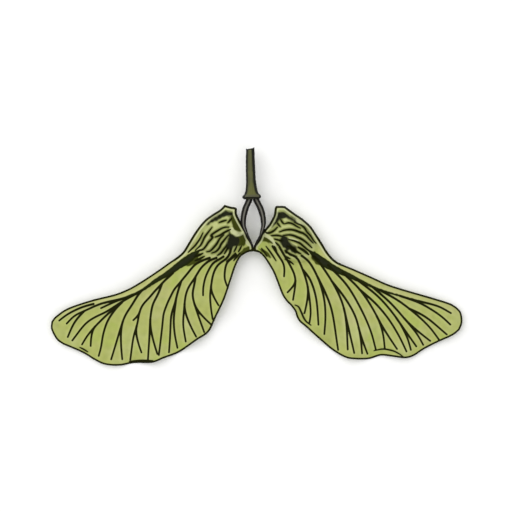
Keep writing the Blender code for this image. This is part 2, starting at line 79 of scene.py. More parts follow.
# Farther than any dark line reaches, and near enough for two vertices to be one, in millimetres.
FAR = 9.0
MERGE_GAP = 0.002

Point = tuple[float, float]
Profile = tuple[Point, ...]
Run = tuple[float, ...]
Piece = bpy.types.Object
Material = bpy.types.Material
Tree = bpy.types.NodeTree
Socket = bpy.types.NodeSocket


class Slot(Enum):
    """The record's material slots."""

    SAMARA = "samara"
    STALK = "stalk"
    FORK = "fork"


# Lines and distances in plan.


def even_points(line: np.ndarray, count: int) -> np.ndarray:
    """Cut a line into equal lengths.

    Args:
        line: Points of the line.
        count: How many points to return.

    Returns:
        Points on the same line, all the same distance apart.
    """
    lengths = np.concatenate([[0.0], np.cumsum(np.linalg.norm(np.diff(line, axis=0), axis=1))])
    places = np.linspace(0.0, lengths[-1], count)
    return np.column_stack([np.interp(places, lengths, line[:, axis]) for axis in range(line.shape[1])])


def smooth_line(run: Run | Profile, step: float) -> np.ndarray:
    """Draw a smooth curve through points.

    Args:
        run: The points that the curve passes through.
        step: Distance between the returned points.

    Returns:
        Points of the curve, evenly spaced.
    """
    knots = np.array(run, dtype=float).reshape(-1, 2)
    padded = np.vstack([2 * knots[0] - knots[1], knots, 2 * knots[-1] - knots[-2]])
    share = np.linspace(0.0, 1.0, SPAN_POINTS, endpoint=False)[:, None]
    pieces = []
    for before, here, after, beyond in zip(padded, padded[1:], padded[2:], padded[3:]):
        slope = after - before
        bend = 2 * before - 5 * here + 4 * after - beyond
        twist = 3 * here - before - 3 * after + beyond
        pieces.append(0.5 * (2 * here + slope * share + bend * share**2 + twist * share**3))
    line = np.vstack(pieces + [knots[-1:]])
    length = np.linalg.norm(np.diff(line, axis=0), axis=1).sum()
    return even_points(line, max(3, round(length / step) + 1))


def parabola(start: np.ndarray, control: np.ndarray, end: np.ndarray) -> np.ndarray:
    """Return points of a quadratic curve with one control point."""
    share = np.linspace(0.0, 1.0, PARABOLA_POINTS)[:, None]
    return (1 - share) ** 2 * start + 2 * share * (1 - share) * control + share**2 * end


def nearest(points: np.ndarray, line: np.ndarray) -> tuple[np.ndarray, np.ndarray]:
    """Measure how far points are from a line.

    Args:
        points: The points to measure from.
        line: The line's own points.

    Returns:
        The distance of each point, and the share of the line's length where it is nearest.
    """
    best = np.full(len(points), np.inf)
    share = np.zeros(len(points))
    for index, (start, end) in enumerate(zip(line, line[1:])):
        span = end - start
        along = np.clip((points - start) @ span / max(span @ span, 1e-12), 0.0, 1.0)
        gap = np.linalg.norm(points - start - along[:, None] * span, axis=1)
        closer = gap < best
        best[closer] = gap[closer]
        share[closer] = (index + along[closer]) / (len(line) - 1)
    return best, share


def inside(points: np.ndarray, loop: np.ndarray) -> np.ndarray:
    """Tell which points lie inside a closed loop.

    Args:
        points: The points to test.
        loop: The loop's own points.

    Returns:
        True for each point inside.
    """
    crossings = np.zeros(len(points), dtype=int)
    for (x0, y0), (x1, y1) in zip(loop, np.roll(loop, -1, axis=0)):
        if y0 == y1:
            continue
        crosses = (y0 > points[:, 1]) != (y1 > points[:, 1])
        reach = x0 + (points[:, 1] - y0) / (y1 - y0) * (x1 - x0)
        crossings += crosses & (points[:, 0] < reach)
    return crossings % 2 == 1


def patch_gap(points: np.ndarray, patches: tuple[Run, ...]) -> np.ndarray:
    """Measure how far points are from the nearest of some smooth-edged patches.

    Args:
        points: The points to measure from.
        patches: The outlines of the patches.

    Returns:
        The distance of each point, negative inside a patch.
    """
    gaps = []
    for patch in patches:
        loop = smooth_line(patch + patch[:2], PATCH_STEP)
        gap = nearest(points, loop)[0]
        gaps.append(np.where(inside(points, loop), -gap, gap))
    return np.minimum.reduce(gaps)


def ease(share: np.ndarray) -> np.ndarray:
    """Step smoothly from 0 to 1."""
    share = np.clip(share, 0.0, 1.0)
    return share * share * (3 - 2 * share)


def hump(gap: np.ndarray, width: float | np.ndarray) -> np.ndarray:
    """Return a round hump that is 1 at no gap and 0.37 at the width."""
    return np.exp(-((gap / width) ** 2))


def wander(points: np.ndarray, length: float, seed: int) -> np.ndarray:
    """Make a smooth uneven field from crossed waves.

    Args:
        points: Where to read the field.
        length: Typical length of its waves.
        seed: Number that picks one field; the same number always gives the same field.

    Returns:
        Values between about -1 and 1.
    """
    dice = np.random.default_rng(seed)
    total = np.zeros(len(points))
    for turn, phase, stretch in dice.random((WAVE_COUNT, 3)):
        heading = np.array([math.cos(math.tau * turn), math.sin(math.tau * turn)])
        wave = length * (SHORT_WAVE + WAVE_SPREAD * stretch)
        total += np.sin(points @ heading * math.tau / wave + math.tau * phase)
    return total / WAVE_SUM


# The plans of the two winged nutlets.


@dataclass(frozen=True)
class Vein:
    """One vein along its run; a fork gives the share of the length where it leaves, and its tip's x and y."""

    run: Run
    forks: tuple[tuple[float, float, float], ...] = ()

    def lines(self) -> list[np.ndarray]:
        """Draw the vein.

        Returns:
            The vein's own line and the lines of its forks.
        """
        trunk = smooth_line(self.run, VEIN_STEP)
        for _ in range(SMOOTH_PASSES):
            trunk[1:-1] = (trunk[:-2] + 2 * trunk[1:-1] + trunk[2:]) / 4
        lines = [trunk]
        for share, *tip in self.forks:
            index = round(share * (len(trunk) - 2))
            root = trunk[index]
            heading = trunk[index + 1] - root
            reach = FORK_FOLLOW * np.linalg.norm(np.array(tip) - root) / np.linalg.norm(heading)
            lines.append(parabola(root, root + heading * reach, np.array(tip)))
        return lines


@dataclass(frozen=True)
class Furrow:
    """A furrow sunk in the skin, widest half way along, with shade painted dark along it."""

    run: Run
    half_width: float = 0.22


@dataclass(frozen=True)
class Plan:
    """One winged nutlet, seen from above: its four sides, its lines and its patches."""

    inner: Run
    leading: Run
    tip: Run
    trailing: Run
    rib: Run
    veins: tuple[Vein, ...]
    furrows: tuple[Furrow, ...]
    # Dark strokes at the trailing edge, painted as shade under its curled edge over a shallow sunk crease.
    curls: tuple[Furrow, ...]
    # Sunk dimples in the nutlet, painted near black as shade.
    hollows: tuple[Run, ...]
    # Patches on the nutlet's sloping faces, painted dark as shade; those at the rib's root also darken the
    # rib's start.
    facets: tuple[Run, ...]
    # Pale bands painted on the nutlet as highlights.
    highlight_bands: tuple[Run, ...]
    nutlet: Point
    nutlet_radii: Point
    nutlet_turn: float
    wave_phase: float
    seed: int


LEFT_PLAN = Plan(
    inner=(-6.4, 10.7, -5.2, 10.35, -4, 10.05, -3.9, 8.9, -3.3, 7.6, -2.55, 6.25, -1.95, 5.2, -1.55, 4.2,
        -1.05, 3.4, -0.64, 2.5, -0.53, 1.4),
    leading=(-6.4, 10.7, -7.3, 9.8, -8.7, 8.9, -10.1, 7.9, -11.4, 6.5, -12.6, 4.8, -13.7, 3, -14.7, 1.4,
        -15.9, 0.3, -17.7, -0.95, -19.3, -2.1, -21.3, -3.45, -23.4, -4.8, -25.7, -6.1, -28.5, -7.2,
        -33.1, -8.35, -37.8, -9.95, -40.3, -11.6, -41.2, -12.7),
    tip=(-41.2, -12.7, -41.3, -14, -40.8, -15.3, -40, -16.5, -38.9, -17.3),
    trailing=(-38.9, -17.3, -35, -19, -32.5, -20.5, -30.4, -21.4, -27.5, -21.6, -24.6, -21.1, -21, -21,
        -18.6, -20.1, -15.5, -18.9, -11.9, -16.4, -9.6, -14.8, -8.1, -11.8, -6.4, -8.2, -5.1, -4.4,
        -4.2, -1.7, -3.3, 0.1, -2.5, 0.8, -1.6, 1.25, -0.53, 1.4),
    rib=(-10.6, 2.1, -12.2, 1, -13.3, 0.1, -14.4, -0.7, -15.6, -1.5, -16.8, -2.4, -18.4, -3.45,
        -20.15, -4.5, -23.3, -6.6, -27.4, -8.2, -31.2, -9.1),
    veins=(
        Vein((-4.1, 0.75, -5, -0.1, -5.8, -0.6, -6.1, -1.2, -6.3, -2.2, -6.4, -3.2, -6.4, -4.2,
            -5.9, -5.5)),
        Vein((-5.1, 1.85, -5.3, 0.95, -5.9, 0, -6.6, -0.5, -7.2, -0.85, -7.9, -1.5, -8.5, -2.65,
            -8.85, -3.9, -9.05, -5.3, -9.3, -7.35, -9.15, -9.8, -8.8, -12.2), ((0.58, -7.6, -9.4),)),
        Vein((-6.6, 0.35, -7.65, -0.35, -8.7, -0.9, -9.6, -2.4, -10.15, -3.55, -10.5, -4.85, -10.7, -6.1,
            -10.7, -7.4)),
        Vein((-8, 0.1, -9.25, -0.35, -10.05, -0.9, -10.85, -1.6, -11.45, -2.4, -12.45, -4.1, -13.4, -5.4,
            -13.95, -6.55, -14.25, -7.7, -14.5, -10.1, -14.7, -13.3, -14.2, -16.7),
            ((0.62, -12.1, -15.7),)),
        Vein((-12.2, -3.65, -12.45, -5.3, -12.75, -6.45, -12.8, -7.7, -12.3, -9.6, -11.4, -12.3,
            -10.5, -14.8), ((0.5, -9.2, -13.2),)),
        Vein((-9.35, 0.1, -10.4, -0.25, -11.3, -0.7, -12.1, -1.05, -12.8, -1.75, -13.7, -2.9, -14.75, -4.15,
            -15.5, -5.1, -16.5, -6.2, -17.05, -7.35, -17.65, -8.5, -18.2, -9.9, -18.65, -11.15,
            -18.9, -13.5, -19.6, -19.4)),
        Vein((-15.1, -4.65, -15.65, -6.35, -16, -7.6, -16.25, -8.75, -16.65, -9.9, -17.05, -11.15,
            -17.2, -12.5, -17.35, -15.5, -17.6, -18.9)),
        Vein((-16.1, -8, -16.3, -9.6, -16.5, -11.15, -16.6, -12.8, -16.4, -15.4, -15.9, -18)),
        Vein((-16.7, -2.9, -17.5, -3.7, -18.45, -4.5, -19.2, -5.35, -20.6, -6.8, -21.3, -7.7, -22.95, -9.5,
            -23.6, -11.4, -23.9, -13.2, -24.7, -15.85, -25.4, -20.4), ((0.52, -24.7, -12.4),
            (0.66, -23.1, -18.9))),
        Vein((-18.9, -5, -19.6, -6.9, -20.25, -8.15, -20.75, -9.1, -21.1, -10.6, -21.35, -12.8, -21.5, -16,
            -21.8, -20.3), ((0.5, -19.9, -19.2),)),
        Vein((-22.9, -6.4, -23.7, -7.3, -25, -9.4, -26.3, -11.4, -27.1, -13.5, -27.95, -16.2, -29.2, -20.3),
            ((0.48, -27, -20.3),)),
        Vein((-23.3, -6.7, -25.6, -7.9, -27.6, -9.1, -30.1, -10.7, -32.4, -11.8, -34.4, -13.2, -37, -16.5)),
        Vein((-27.3, -9, -28.5, -10.1, -30.1, -11.4, -32.6, -13.9, -34, -15.6, -35.05, -17.3),
            ((0.62, -33.3, -17.6),)),
        Vein((-26.9, -8.75, -28.3, -10.2, -29.9, -12.6, -30.8, -15.3, -31.2, -17.8, -31.7, -19.6)),
        Vein((-27.6, -8.25, -31.2, -9.1, -34.4, -10.5, -36.5, -11.5, -38.1, -13.1)),
        Vein((-34.6, -10.6, -35.9, -12, -36.9, -13.5, -37.9, -15.8)),
        Vein((-26.2, -7.9, -27.8, -8.45, -29.5, -9.2, -31.2, -10)),
        Vein((-32.7, -9.15, -34.6, -9.65, -36.5, -10.45, -38.2, -11.4, -39.6, -12.5)),
    ),
    furrows=(
        Furrow((-10.7, 5.05, -11.3, 3.9, -12.15, 2.7, -13.1, 1.75, -13.65, 1.2)),
        Furrow((-8.85, 6.15, -9.55, 5.25, -10.3, 4.25, -10.8, 3.2, -11.3, 2.45, -12.25, 1.6), 0.21),
        Furrow((-5.55, 6.2, -6.55, 6.1, -7.7, 5.5, -8.7, 4.85, -9.05, 4.45, -8.7, 4.15, -9.55, 3.2,
            -10.1, 2.4, -10.7, 1.75, -11.7, 1.4)),
        Furrow((-5.15, 5.75, -6.35, 5.15, -7.3, 4.55, -8.25, 4.2)),
        Furrow((-6.5, 4.65, -7.3, 3.9, -7.9, 2.9, -8.6, 2.05, -9.25, 1.45, -9.9, 1.3)),
        Furrow((-5.6, 4.6, -6.35, 3.7, -7.05, 2.8, -7.4, 2.05, -8.1, 1.35, -8.9, 1.05)),
        Furrow((-5.9, 2.6, -6.55, 1.75, -7.1, 1.05, -7.75, 0.6)),
        Furrow((-5.75, 2.05, -6.05, 1.5, -6.4, 0.9), 0.2),
        Furrow((-3.9, 2.5, -4.2, 1.85, -4.5, 1.3), 0.2),
        Furrow((-3, 2.5, -3.35, 1.75, -3.65, 1.3), 0.2),
        Furrow((-4.2, 1.05, -4.8, 0.4, -5.4, -0.2, -6, -0.6)),
        Furrow((-3.3, 1.1, -3.85, 0.4, -4.3, -0.1, -4.55, -0.45), 0.22),
        Furrow((-6, 7.55, -6.65, 7.4, -7.45, 7.1), 0.2),
        Furrow((-4.95, 8, -5.3, 7.5, -5.7, 7.05), 0.21),
        Furrow((-10.4, 0.4, -11.3, -0.05, -12.3, -0.5)),
        Furrow((-10.7, 1, -11.5, 0.6, -12.3, 0.3), 0.22),
    ),
    curls=(
        Furrow((-35.5, -17.9, -34.7, -18.3, -33.9, -18.8), 0.19),
        Furrow((-25.6, -20.75, -23.2, -20.55, -20.8, -20.55), 0.21),
    ),
    hollows=(
        (-6.15, 9.5, -5.5, 9.35, -4.75, 9.15, -4.8, 8.6, -5.3, 8.45, -6.4, 8.25, -7.4, 7.8, -8.1, 7.4,
            -8.95, 7.1, -9.5, 6.75, -9.95, 6.55, -9.75, 7, -9.1, 7.6, -8.5, 8.05, -7.95, 8.4, -7.3, 8.85,
            -6.7, 9.25),
        (-5.35, 5.45, -5.1, 4.95, -4.4, 4.55, -3.85, 4.25, -3.35, 3.9, -3.5, 3.1, -3.85, 2.55, -4.4, 2.35,
            -4.85, 1.95, -5.1, 1.15, -5.35, 1.05, -5.45, 1.7, -5.85, 1.65, -6.1, 2.15, -5.95, 3.1,
            -5.65, 3.9, -5.55, 4.85),
    ),
    facets=(
        (-5, 8.9, -4.4, 8.5, -3.95, 7.55, -3.45, 6.7, -2.9, 5.7, -2.95, 5.4, -3.45, 5.35, -4.3, 5.6,
            -4.7, 6, -4.9, 7, -5.05, 7.95),
        (-4, 4.4, -3.15, 4.65, -2.55, 5.1, -2.15, 4.45, -1.85, 3.7, -2.15, 3.1, -2.45, 2.5, -2.95, 2.6,
            -3.45, 2.4, -4, 2.6, -4.2, 3.5),
        (-0.8, 2.1, -1.5, 2.3, -2.2, 2.25, -2.95, 1.55, -3.45, 0.8, -2.95, 0.6, -2.2, 1.15, -1.4, 1.6),
        (-12.6, 1, -11.3, 0.9, -11.7, 0.1, -10.9, -0.3, -11.5, -0.9, -12.6, -1.25, -13.9, -1.5,
            -14.2, -0.2),
    ),
    highlight_bands=(
        (-5.35, 5.95, -4.8, 6.1, -4.3, 5.5, -3.45, 5.15, -2.6, 5.3, -2.5, 5.05, -3.15, 4.55, -3.95, 4.4,
            -4.5, 4.65, -5, 5.15),
        (-2, 3.9, -1.5, 3.2, -1.05, 2.6, -1.4, 2.45, -1.9, 2.7, -2.15, 3.1),
    ),
    nutlet=(-6.9, 5.0),
    nutlet_radii=(6.6, 4.7),
    nutlet_turn=math.radians(48),
    wave_phase=0.6,
    seed=3,
)

RIGHT_PLAN = Plan(
    inner=(5.7, 10.45, 4.7, 10.5, 3.75, 10.3, 3.4, 8.6, 2.6, 7, 1.7, 5.9, 0.9, 4.9, 0.45, 3.8, -0.1, 3.1,
        -0.53, 2.5, -0.62, 1.4),
    leading=(5.7, 10.45, 6.7, 9.7, 7.8, 8.9, 9.4, 7.8, 10.9, 6.4, 12, 4.8, 13.1, 3.1, 14.5, 0.9, 16.2, -0.7,
        19.6, -2.2, 22.8, -3.6, 26, -5.05, 28.8, -6, 32.4, -7.05, 36, -8.1, 38.8, -9, 40.2, -9.8),
    tip=(40.2, -9.8, 41, -10.7, 41.3, -11.8, 41.3, -13.1, 40.8, -14.4),
    trailing=(40.8, -14.4, 39.4, -15.5, 36.4, -16.9, 33.7, -18.3, 31.7, -19.6, 29.9, -20.1, 27.4, -19.8,
        25, -19.6, 22.6, -20.3, 19.7, -20.3, 17.7, -19.9, 15.2, -18.45, 12.5, -16.15, 11.1, -14.9,
        9.85, -13.75, 8.6, -12.7, 8, -11.65, 7.65, -10.6, 6.85, -9.5, 6.05, -8.7, 5.35, -7.75, 4.95, -6.95,
        4.35, -5.4, 3.4, -2.95, 2.35, -1.1, 1.35, 0.35, 0.5, 1.1, -0.62, 1.4),
    rib=(9.7, 2.2, 11.4, 0.75, 12.7, -0.3, 14.1, -1.25, 16.2, -2.4, 18.3, -3.35, 21.5, -4.9, 24.5, -6.25,
        28.7, -7.5, 32.4, -8.55),
    veins=(
        Vein((3.2, 2.4, 3.9, 1.3, 4.6, 0.2, 5.3, -0.8, 5.6, -2, 5.5, -3.6)),
        Vein((4.6, 2.2, 5.2, 1.1, 6, -0.1, 6.6, -1.2, 7.5, -3, 7.8, -4.8, 7.3, -8.3), ((0.68, 6.2, -6.8),)),
        Vein((6.7, 0.75, 7.9, 0.3, 8.8, -1.2, 10, -4.6, 10.6, -8, 10.85, -11, 10.6, -12.9),
            ((0.52, 9.6, -11),)),
        Vein((9.2, -2.2, 10.6, -4, 11.6, -6.6, 12.1, -9.2, 12.4, -13.3)),
        Vein((9, 0.5, 10.6, -0.8, 12.4, -4.2, 13.5, -8, 13.8, -11.6, 13.6, -15.2)),
        Vein((12.2, -3.7, 13.9, -7.2, 15.2, -11, 16.4, -18.4)),
        Vein((11.6, 0.3, 12.4, -0.6, 15.2, -4.8, 17.2, -9, 18, -13, 18.3, -18.3), ((0.6, 19.6, -19),)),
        Vein((15, -4.5, 17.6, -7.8, 19.7, -11.4, 20.7, -15, 21.2, -19.1), ((0.68, 22.3, -19.2),)),
        Vein((14.3, -1.35, 18.1, -5.4, 21, -10.3, 22.9, -14.6, 24, -18.4)),
        Vein((17.2, -2.85, 20.8, -6.4, 23.9, -11.2, 25.3, -14.8, 25.8, -18.2), ((0.62, 28.2, -18.2),)),
        Vein((20.6, -6.2, 23.8, -9, 26.5, -12.2, 28.6, -15.6, 30.1, -18.7)),
        Vein((20, -4.2, 24.4, -7.7, 28, -11.9, 30.1, -15.6, 31, -18.4), ((0.62, 32.1, -17.7),)),
        Vein((23.2, -5.72, 26.9, -9, 30.1, -12.6, 32.2, -15.2, 33.5, -17.4), ((0.6, 34.9, -16.6),)),
        Vein((24.6, -6.32, 28.6, -8.6, 32.2, -11.4, 34.8, -13.9, 36.7, -16.4)),
        Vein((30.6, -10.1, 32.6, -11, 34.8, -12.4, 38.2, -15.3)),
        Vein((28.7, -7.5, 32.6, -8.9, 35.6, -10.6, 37.4, -11.9, 38.9, -13.3)),
        Vein((32.4, -8.55, 36.4, -9.6, 39, -11)),
    ),
    furrows=(
        Furrow((7.5, 7.2, 8.1, 6.9, 8.9, 6.6, 9.6, 6, 10.05, 5.25, 10.75, 4.5, 11.5, 3.4, 11.9, 3), 0.21),
        Furrow((4.6, 5.25, 5.6, 5.6, 6.8, 5.7, 7.8, 5.5, 8.6, 5.2, 9.3, 4.95, 10, 4.45, 10.55, 3.8,
            11.3, 3.05), 0.23),
        Furrow((5.4, 4.55, 6.6, 4.65, 7.5, 4.45, 8.1, 4.2, 8.8, 3.9, 9.6, 3.4, 10.35, 2.75, 11.05, 2.1)),
        Furrow((6.4, 3.75, 7.4, 3.5, 8.2, 3.2, 8.75, 2.9, 9.4, 2.35, 10.05, 1.8, 10.6, 1.35), 0.21),
        Furrow((8.3, 2.2, 9.2, 1.7, 9.8, 1.25, 10.4, 0.75), 0.28),
        Furrow((6.1, 2.4, 7.05, 2.1, 7.85, 1.4, 8.8, 0.9), 0.24),
        Furrow((5.7, 1.5, 6.7, 0.8, 7.9, 0.35), 0.24),
        Furrow((5.6, 0.5, 6.1, 0.2, 6.7, -0.1), 0.2),
        Furrow((5.7, -0.2, 6.7, -0.65, 7.4, -1.2), 0.2),
        Furrow((4.15, 7.05, 4.4, 6.65, 4.7, 6.3), 0.21),
        Furrow((4.8, 7.7, 5.1, 7.2, 5.45, 6.85), 0.21),
        Furrow((5.6, 6.85, 6.4, 7.05, 7.2, 6.85, 8, 6.35, 8.7, 6), 0.2),
        Furrow((4.15, 6.2, 3.5, 5.55, 2.7, 5.1, 2.1, 5.05, 1.75, 5.3)),
        Furrow((2.9, 4.5, 3.8, 4.55, 4.45, 4.5, 5.1, 4.35), 0.2),
        Furrow((3.55, 3.85, 4.25, 3.65, 5, 3.45), 0.2),
        Furrow((3.8, 3.15, 4.2, 2.75, 4.65, 2.35), 0.2),
        Furrow((3.6, 2.4, 3.8, 1.9, 4.05, 1.2), 0.2),
        Furrow((1.9, 2.4, 2.5, 1.6, 3.2, 0.6, 3.9, -0.5), 0.2),
        Furrow((1, 2, 1.5, 1.3, 2.1, 0.4), 0.21),
        Furrow((11.1, 0.6, 11.9, -0.1, 12.6, -0.4), 0.2),
    ),
    curls=(
        Furrow((23.6, -18.6, 25.4, -18.25, 27.3, -18.55, 28.5, -19.1, 29.4, -19.7), 0.19),
        Furrow((7.7, -9.35, 8.4, -9.7, 8.95, -10.75, 9.45, -11.9, 10, -12.7, 10.9, -13.4), 0.21),
    ),
    hollows=(
        (4.1, 9.15, 4.75, 9.25, 5.5, 9.3, 6.5, 8.6, 7.4, 8, 8.3, 7.1, 8.2, 6.85, 7.2, 7.35, 6.2, 7.9,
            5.6, 8, 5.05, 7.8, 4.55, 7.6, 4.15, 7.1, 3.7, 6.75, 3, 6.1, 2.9, 6.25, 3.45, 7.1, 3.85, 8,
            4, 8.65),
        (4.8, 4.2, 5.4, 4.55, 6.1, 4.2, 6.5, 3.4, 7.1, 2.75, 7.9, 2.2, 8.15, 1.5, 7.85, 0.95, 7.2, 1.15,
            6.7, 1.6, 6.3, 1.5, 6, 1, 5.7, 1.15, 5.7, 1.9, 5.2, 2.2, 4.9, 2.9, 4.6, 3.5),
    ),
    facets=(
        (11.6, 1.4, 12.6, 0.4, 12.2, -0.3, 12.9, -1.3, 12, -1.2, 11.2, -0.3, 10.9, 0.5),
        (0.95, 4.45, 1.85, 4.2, 2.8, 3.6, 3.3, 3.1, 3.1, 2.9, 1.9, 3.3, 1.1, 3.5),
        (0.5, 1.9, 1.6, 1.7, 2.3, 1.2, 2.9, 0.2, 2.5, 0.1, 1.7, 0.8, 0.9, 1.4),
    ),
    highlight_bands=(
        (1, 4.9, 1.65, 4.95, 2.8, 4.35, 3.4, 3.6, 3.85, 2.65, 3.8, 2.15, 3.3, 3.1, 2.3, 4, 1.35, 4.5),
        (7.3, 8.1, 8.4, 7.6, 9.2, 7, 9.6, 6.6, 8.9, 6.85, 8.05, 7.2),
        (6.5, 4.05, 7.4, 3.9, 8.3, 3.5, 8, 3.3, 7.2, 3.7, 6.5, 3.9),
    ),
    nutlet=(6.6, 5.0),
    nutlet_radii=(6.8, 4.8),
    nutlet_turn=math.radians(132),
    wave_phase=2.4,
    seed=7,
)

# Meshes.


def deselect_all() -> None:
    """Leave every object deselected and outside edit mode."""
    if bpy.context.object and bpy.context.object.mode != "OBJECT":
        bpy.ops.object.mode_set(mode="OBJECT")
    bpy.ops.object.select_all(action="DESELECT")


def pick(piece: Piece) -> None:
    """Select one object alone and make it the active one.

    Args:
        piece: The object to select.
    """
    deselect_all()
    piece.select_set(True)
    bpy.context.view_layer.objects.active = piece


def add_sheet(name: str, columns: int, rows: int) -> tuple[Piece, np.ndarray]:
    """Add a flat grid that a piece is then shaped from.

    Args:
        name: Name of the new object.
        columns: Faces along the grid.
        rows: Faces across it.

    Returns:
        The new object, and for each of its vertices its column and row.
    """
    deselect_all()
    bpy.ops.mesh.primitive_grid_add(x_subdivisions=columns, y_subdivisions=rows, size=2.0)
    sheet = bpy.context.object
    sheet.name = sheet.data.name = name
    places = read_places(sheet)[:, :2]
    cells = np.round((places + 1) / 2 * (columns, rows)).astype(int)
    return sheet, cells


def read_places(piece: Piece) -> np.ndarray:
    """Read where a piece's vertices are.

    Args:
        piece: The object to read.

    Returns:
        One row of x, y and z for each vertex.
    """
    places = np.empty(len(piece.data.vertices) * 3)
    piece.data.vertices.foreach_get("co", places)
    return places.reshape(-1, 3)


def write_places(piece: Piece, places: np.ndarray) -> None:
    """Move the piece's vertices to new places."""
    piece.data.vertices.foreach_set("co", places.ravel())
    piece.data.update()


def write_values(piece: Piece, measures: dict[str, np.ndarray]) -> None:
    """Store measures, one number for each vertex, for the finish to read."""
    for name, values in measures.items():
        piece.data.attributes.new(name, "FLOAT", "POINT").data.foreach_set("value", values.astype(np.float32))


def close_seams(piece: Piece) -> None:
    """Merge vertices that lie on each other and turn all faces outwards.

    Args:
        piece: The object to close.
    """
    pick(piece)
    bpy.ops.object.mode_set(mode="EDIT")
    bpy.ops.mesh.select_all(action="SELECT")
    bpy.ops.mesh.remove_doubles(threshold=MERGE_GAP * MM)
    bpy.ops.mesh.normals_make_consistent(inside=False)
    bpy.ops.object.mode_set(mode="OBJECT")


def settle(piece: Piece, node: str, material: Material, angle: float) -> None:
    """Shade a finished piece, give it its material and put it in its CAD node's stead.

    Args:
        piece: The finished piece.
        node: The CAD node that it stands for.
        material: Its material.
        angle: Edges sharper than this many degrees stay sharp.
    """
    pick(piece)
    bpy.ops.object.shade_smooth_by_angle(angle=math.radians(angle))
    piece.data.materials.clear()
    piece.data.materials.append(material)
    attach(piece, "root")
    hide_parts(node)
    LOG.info("%s: %d faces", piece.name, len(piece.data.polygons))


@dataclass(frozen=True)
class BladeSizes:
    """Heights and thicknesses of a winged nutlet in millimetres, and how fast they change across it."""

    columns: int = 330
    rows: int = 134
    shoulder_points: int = 9
    rest_height: float = 2.45
    nutlet_half: float = 2.62
    nutlet_fullness: float = 0.72
    bulge_edge: float = 0.5
    bulge_start: float = 0.3
    stiff_length: float = 5.0
    wing_length: float = 36.0
    wing_width: float = 16.0
    tip_droop: float = 1.25
    camber: float = 1.02
    wave_height: float = 0.55
    wave_length: float = 9.0
    flank_width: float = 2.4
    flank_start: float = 0.22
    half_thickness: float = 0.17
    least_share: float = 0.6
    margin_half: float = 0.05
    margin_width: float = 0.35
    lowered: float = 0.13
    lowered_rise: float = 3.0
    resting_rise: float = 2.0
    resting_start: float = 0.9
    bead_height: float = 0.10
    bead_width: float = 2.4
    bead_edge: float = 0.8
    sharp_angle: float = 60.0


@dataclass(frozen=True)
class ReliefSizes:
    """How far ribs and veins stand out and furrows sink in, in millimetres, and their shares and spreads."""

    rib_height: float = 0.38
    rib_fade: float = 0.5
    rib_foot: float = 0.25
    vein_height: float = 0.15
    vein_fade: float = 0.45
    vein_spread: float = 0.27
    vein_sharpness: float = 2.0
    margin_height: float = 0.07
    margin_inset: float = 0.3
    margin_spread: float = 0.2
    sink_between: float = 0.09
    sink_width: float = 1.0
    pucker_height: float = 0.035
    pucker_length: float = 1.7
    nutlet_rise: float = 2.0
    blade_fall: float = 1.6
    rim_inset: float = 0.42
    rim_height: float = 0.28
    rim_width: float = 0.30
    groove_inset: float = 1.15
    groove_depth: float = 0.40
    groove_width: float = 0.38
    furrow_depth: float = 0.34
    furrow_width: float = 0.26
    furrow_end: float = 0.5
    furrow_tip: float = 0.02
    curl_share: float = 0.4
    fold_height: float = 0.07
    fold_length: float = 0.95
    fold_bend: float = 0.5
    fold_bend_length: float = 4.0
    fold_swell: float = 0.4
    fold_swell_length: float = 2.5
    hollow_depth: float = 0.55
    hollow_width: float = 0.9
    hollow_edge: float = 0.35


@dataclass(frozen=True)
class LineWidths:
    """Half widths of the dark lines on the skin, and how ragged the dark patches are, in millimetres."""

    vein_root: float = 0.25
    vein_end: float = 0.20
    margin: float = 0.39
    shoulder: float = 0.08
    shoulder_reach: float = 1.5
    under_margin: float = 0.15
    ragged: float = 0.08
    ragged_length: float = 0.9
    rib_ragged_share: float = 0.5
    # Distance from the shoulder of the pale line painted as the raised rim's highlight.
    rim_inset: float = 0.64
    nutlet_rise: float = 2.2
    # Keeps the painted shade beside the furrows off the wing.
    off_nutlet: float = 2.0
    rib: Profile = ((0.0, 0.0), (0.05, 0.26), (0.11, 0.70), (0.19, 0.84), (0.27, 0.68), (0.40, 0.52),
                    (0.55, 0.34), (0.65, 0.27), (0.8, 0.22), (1.0, 0.20))


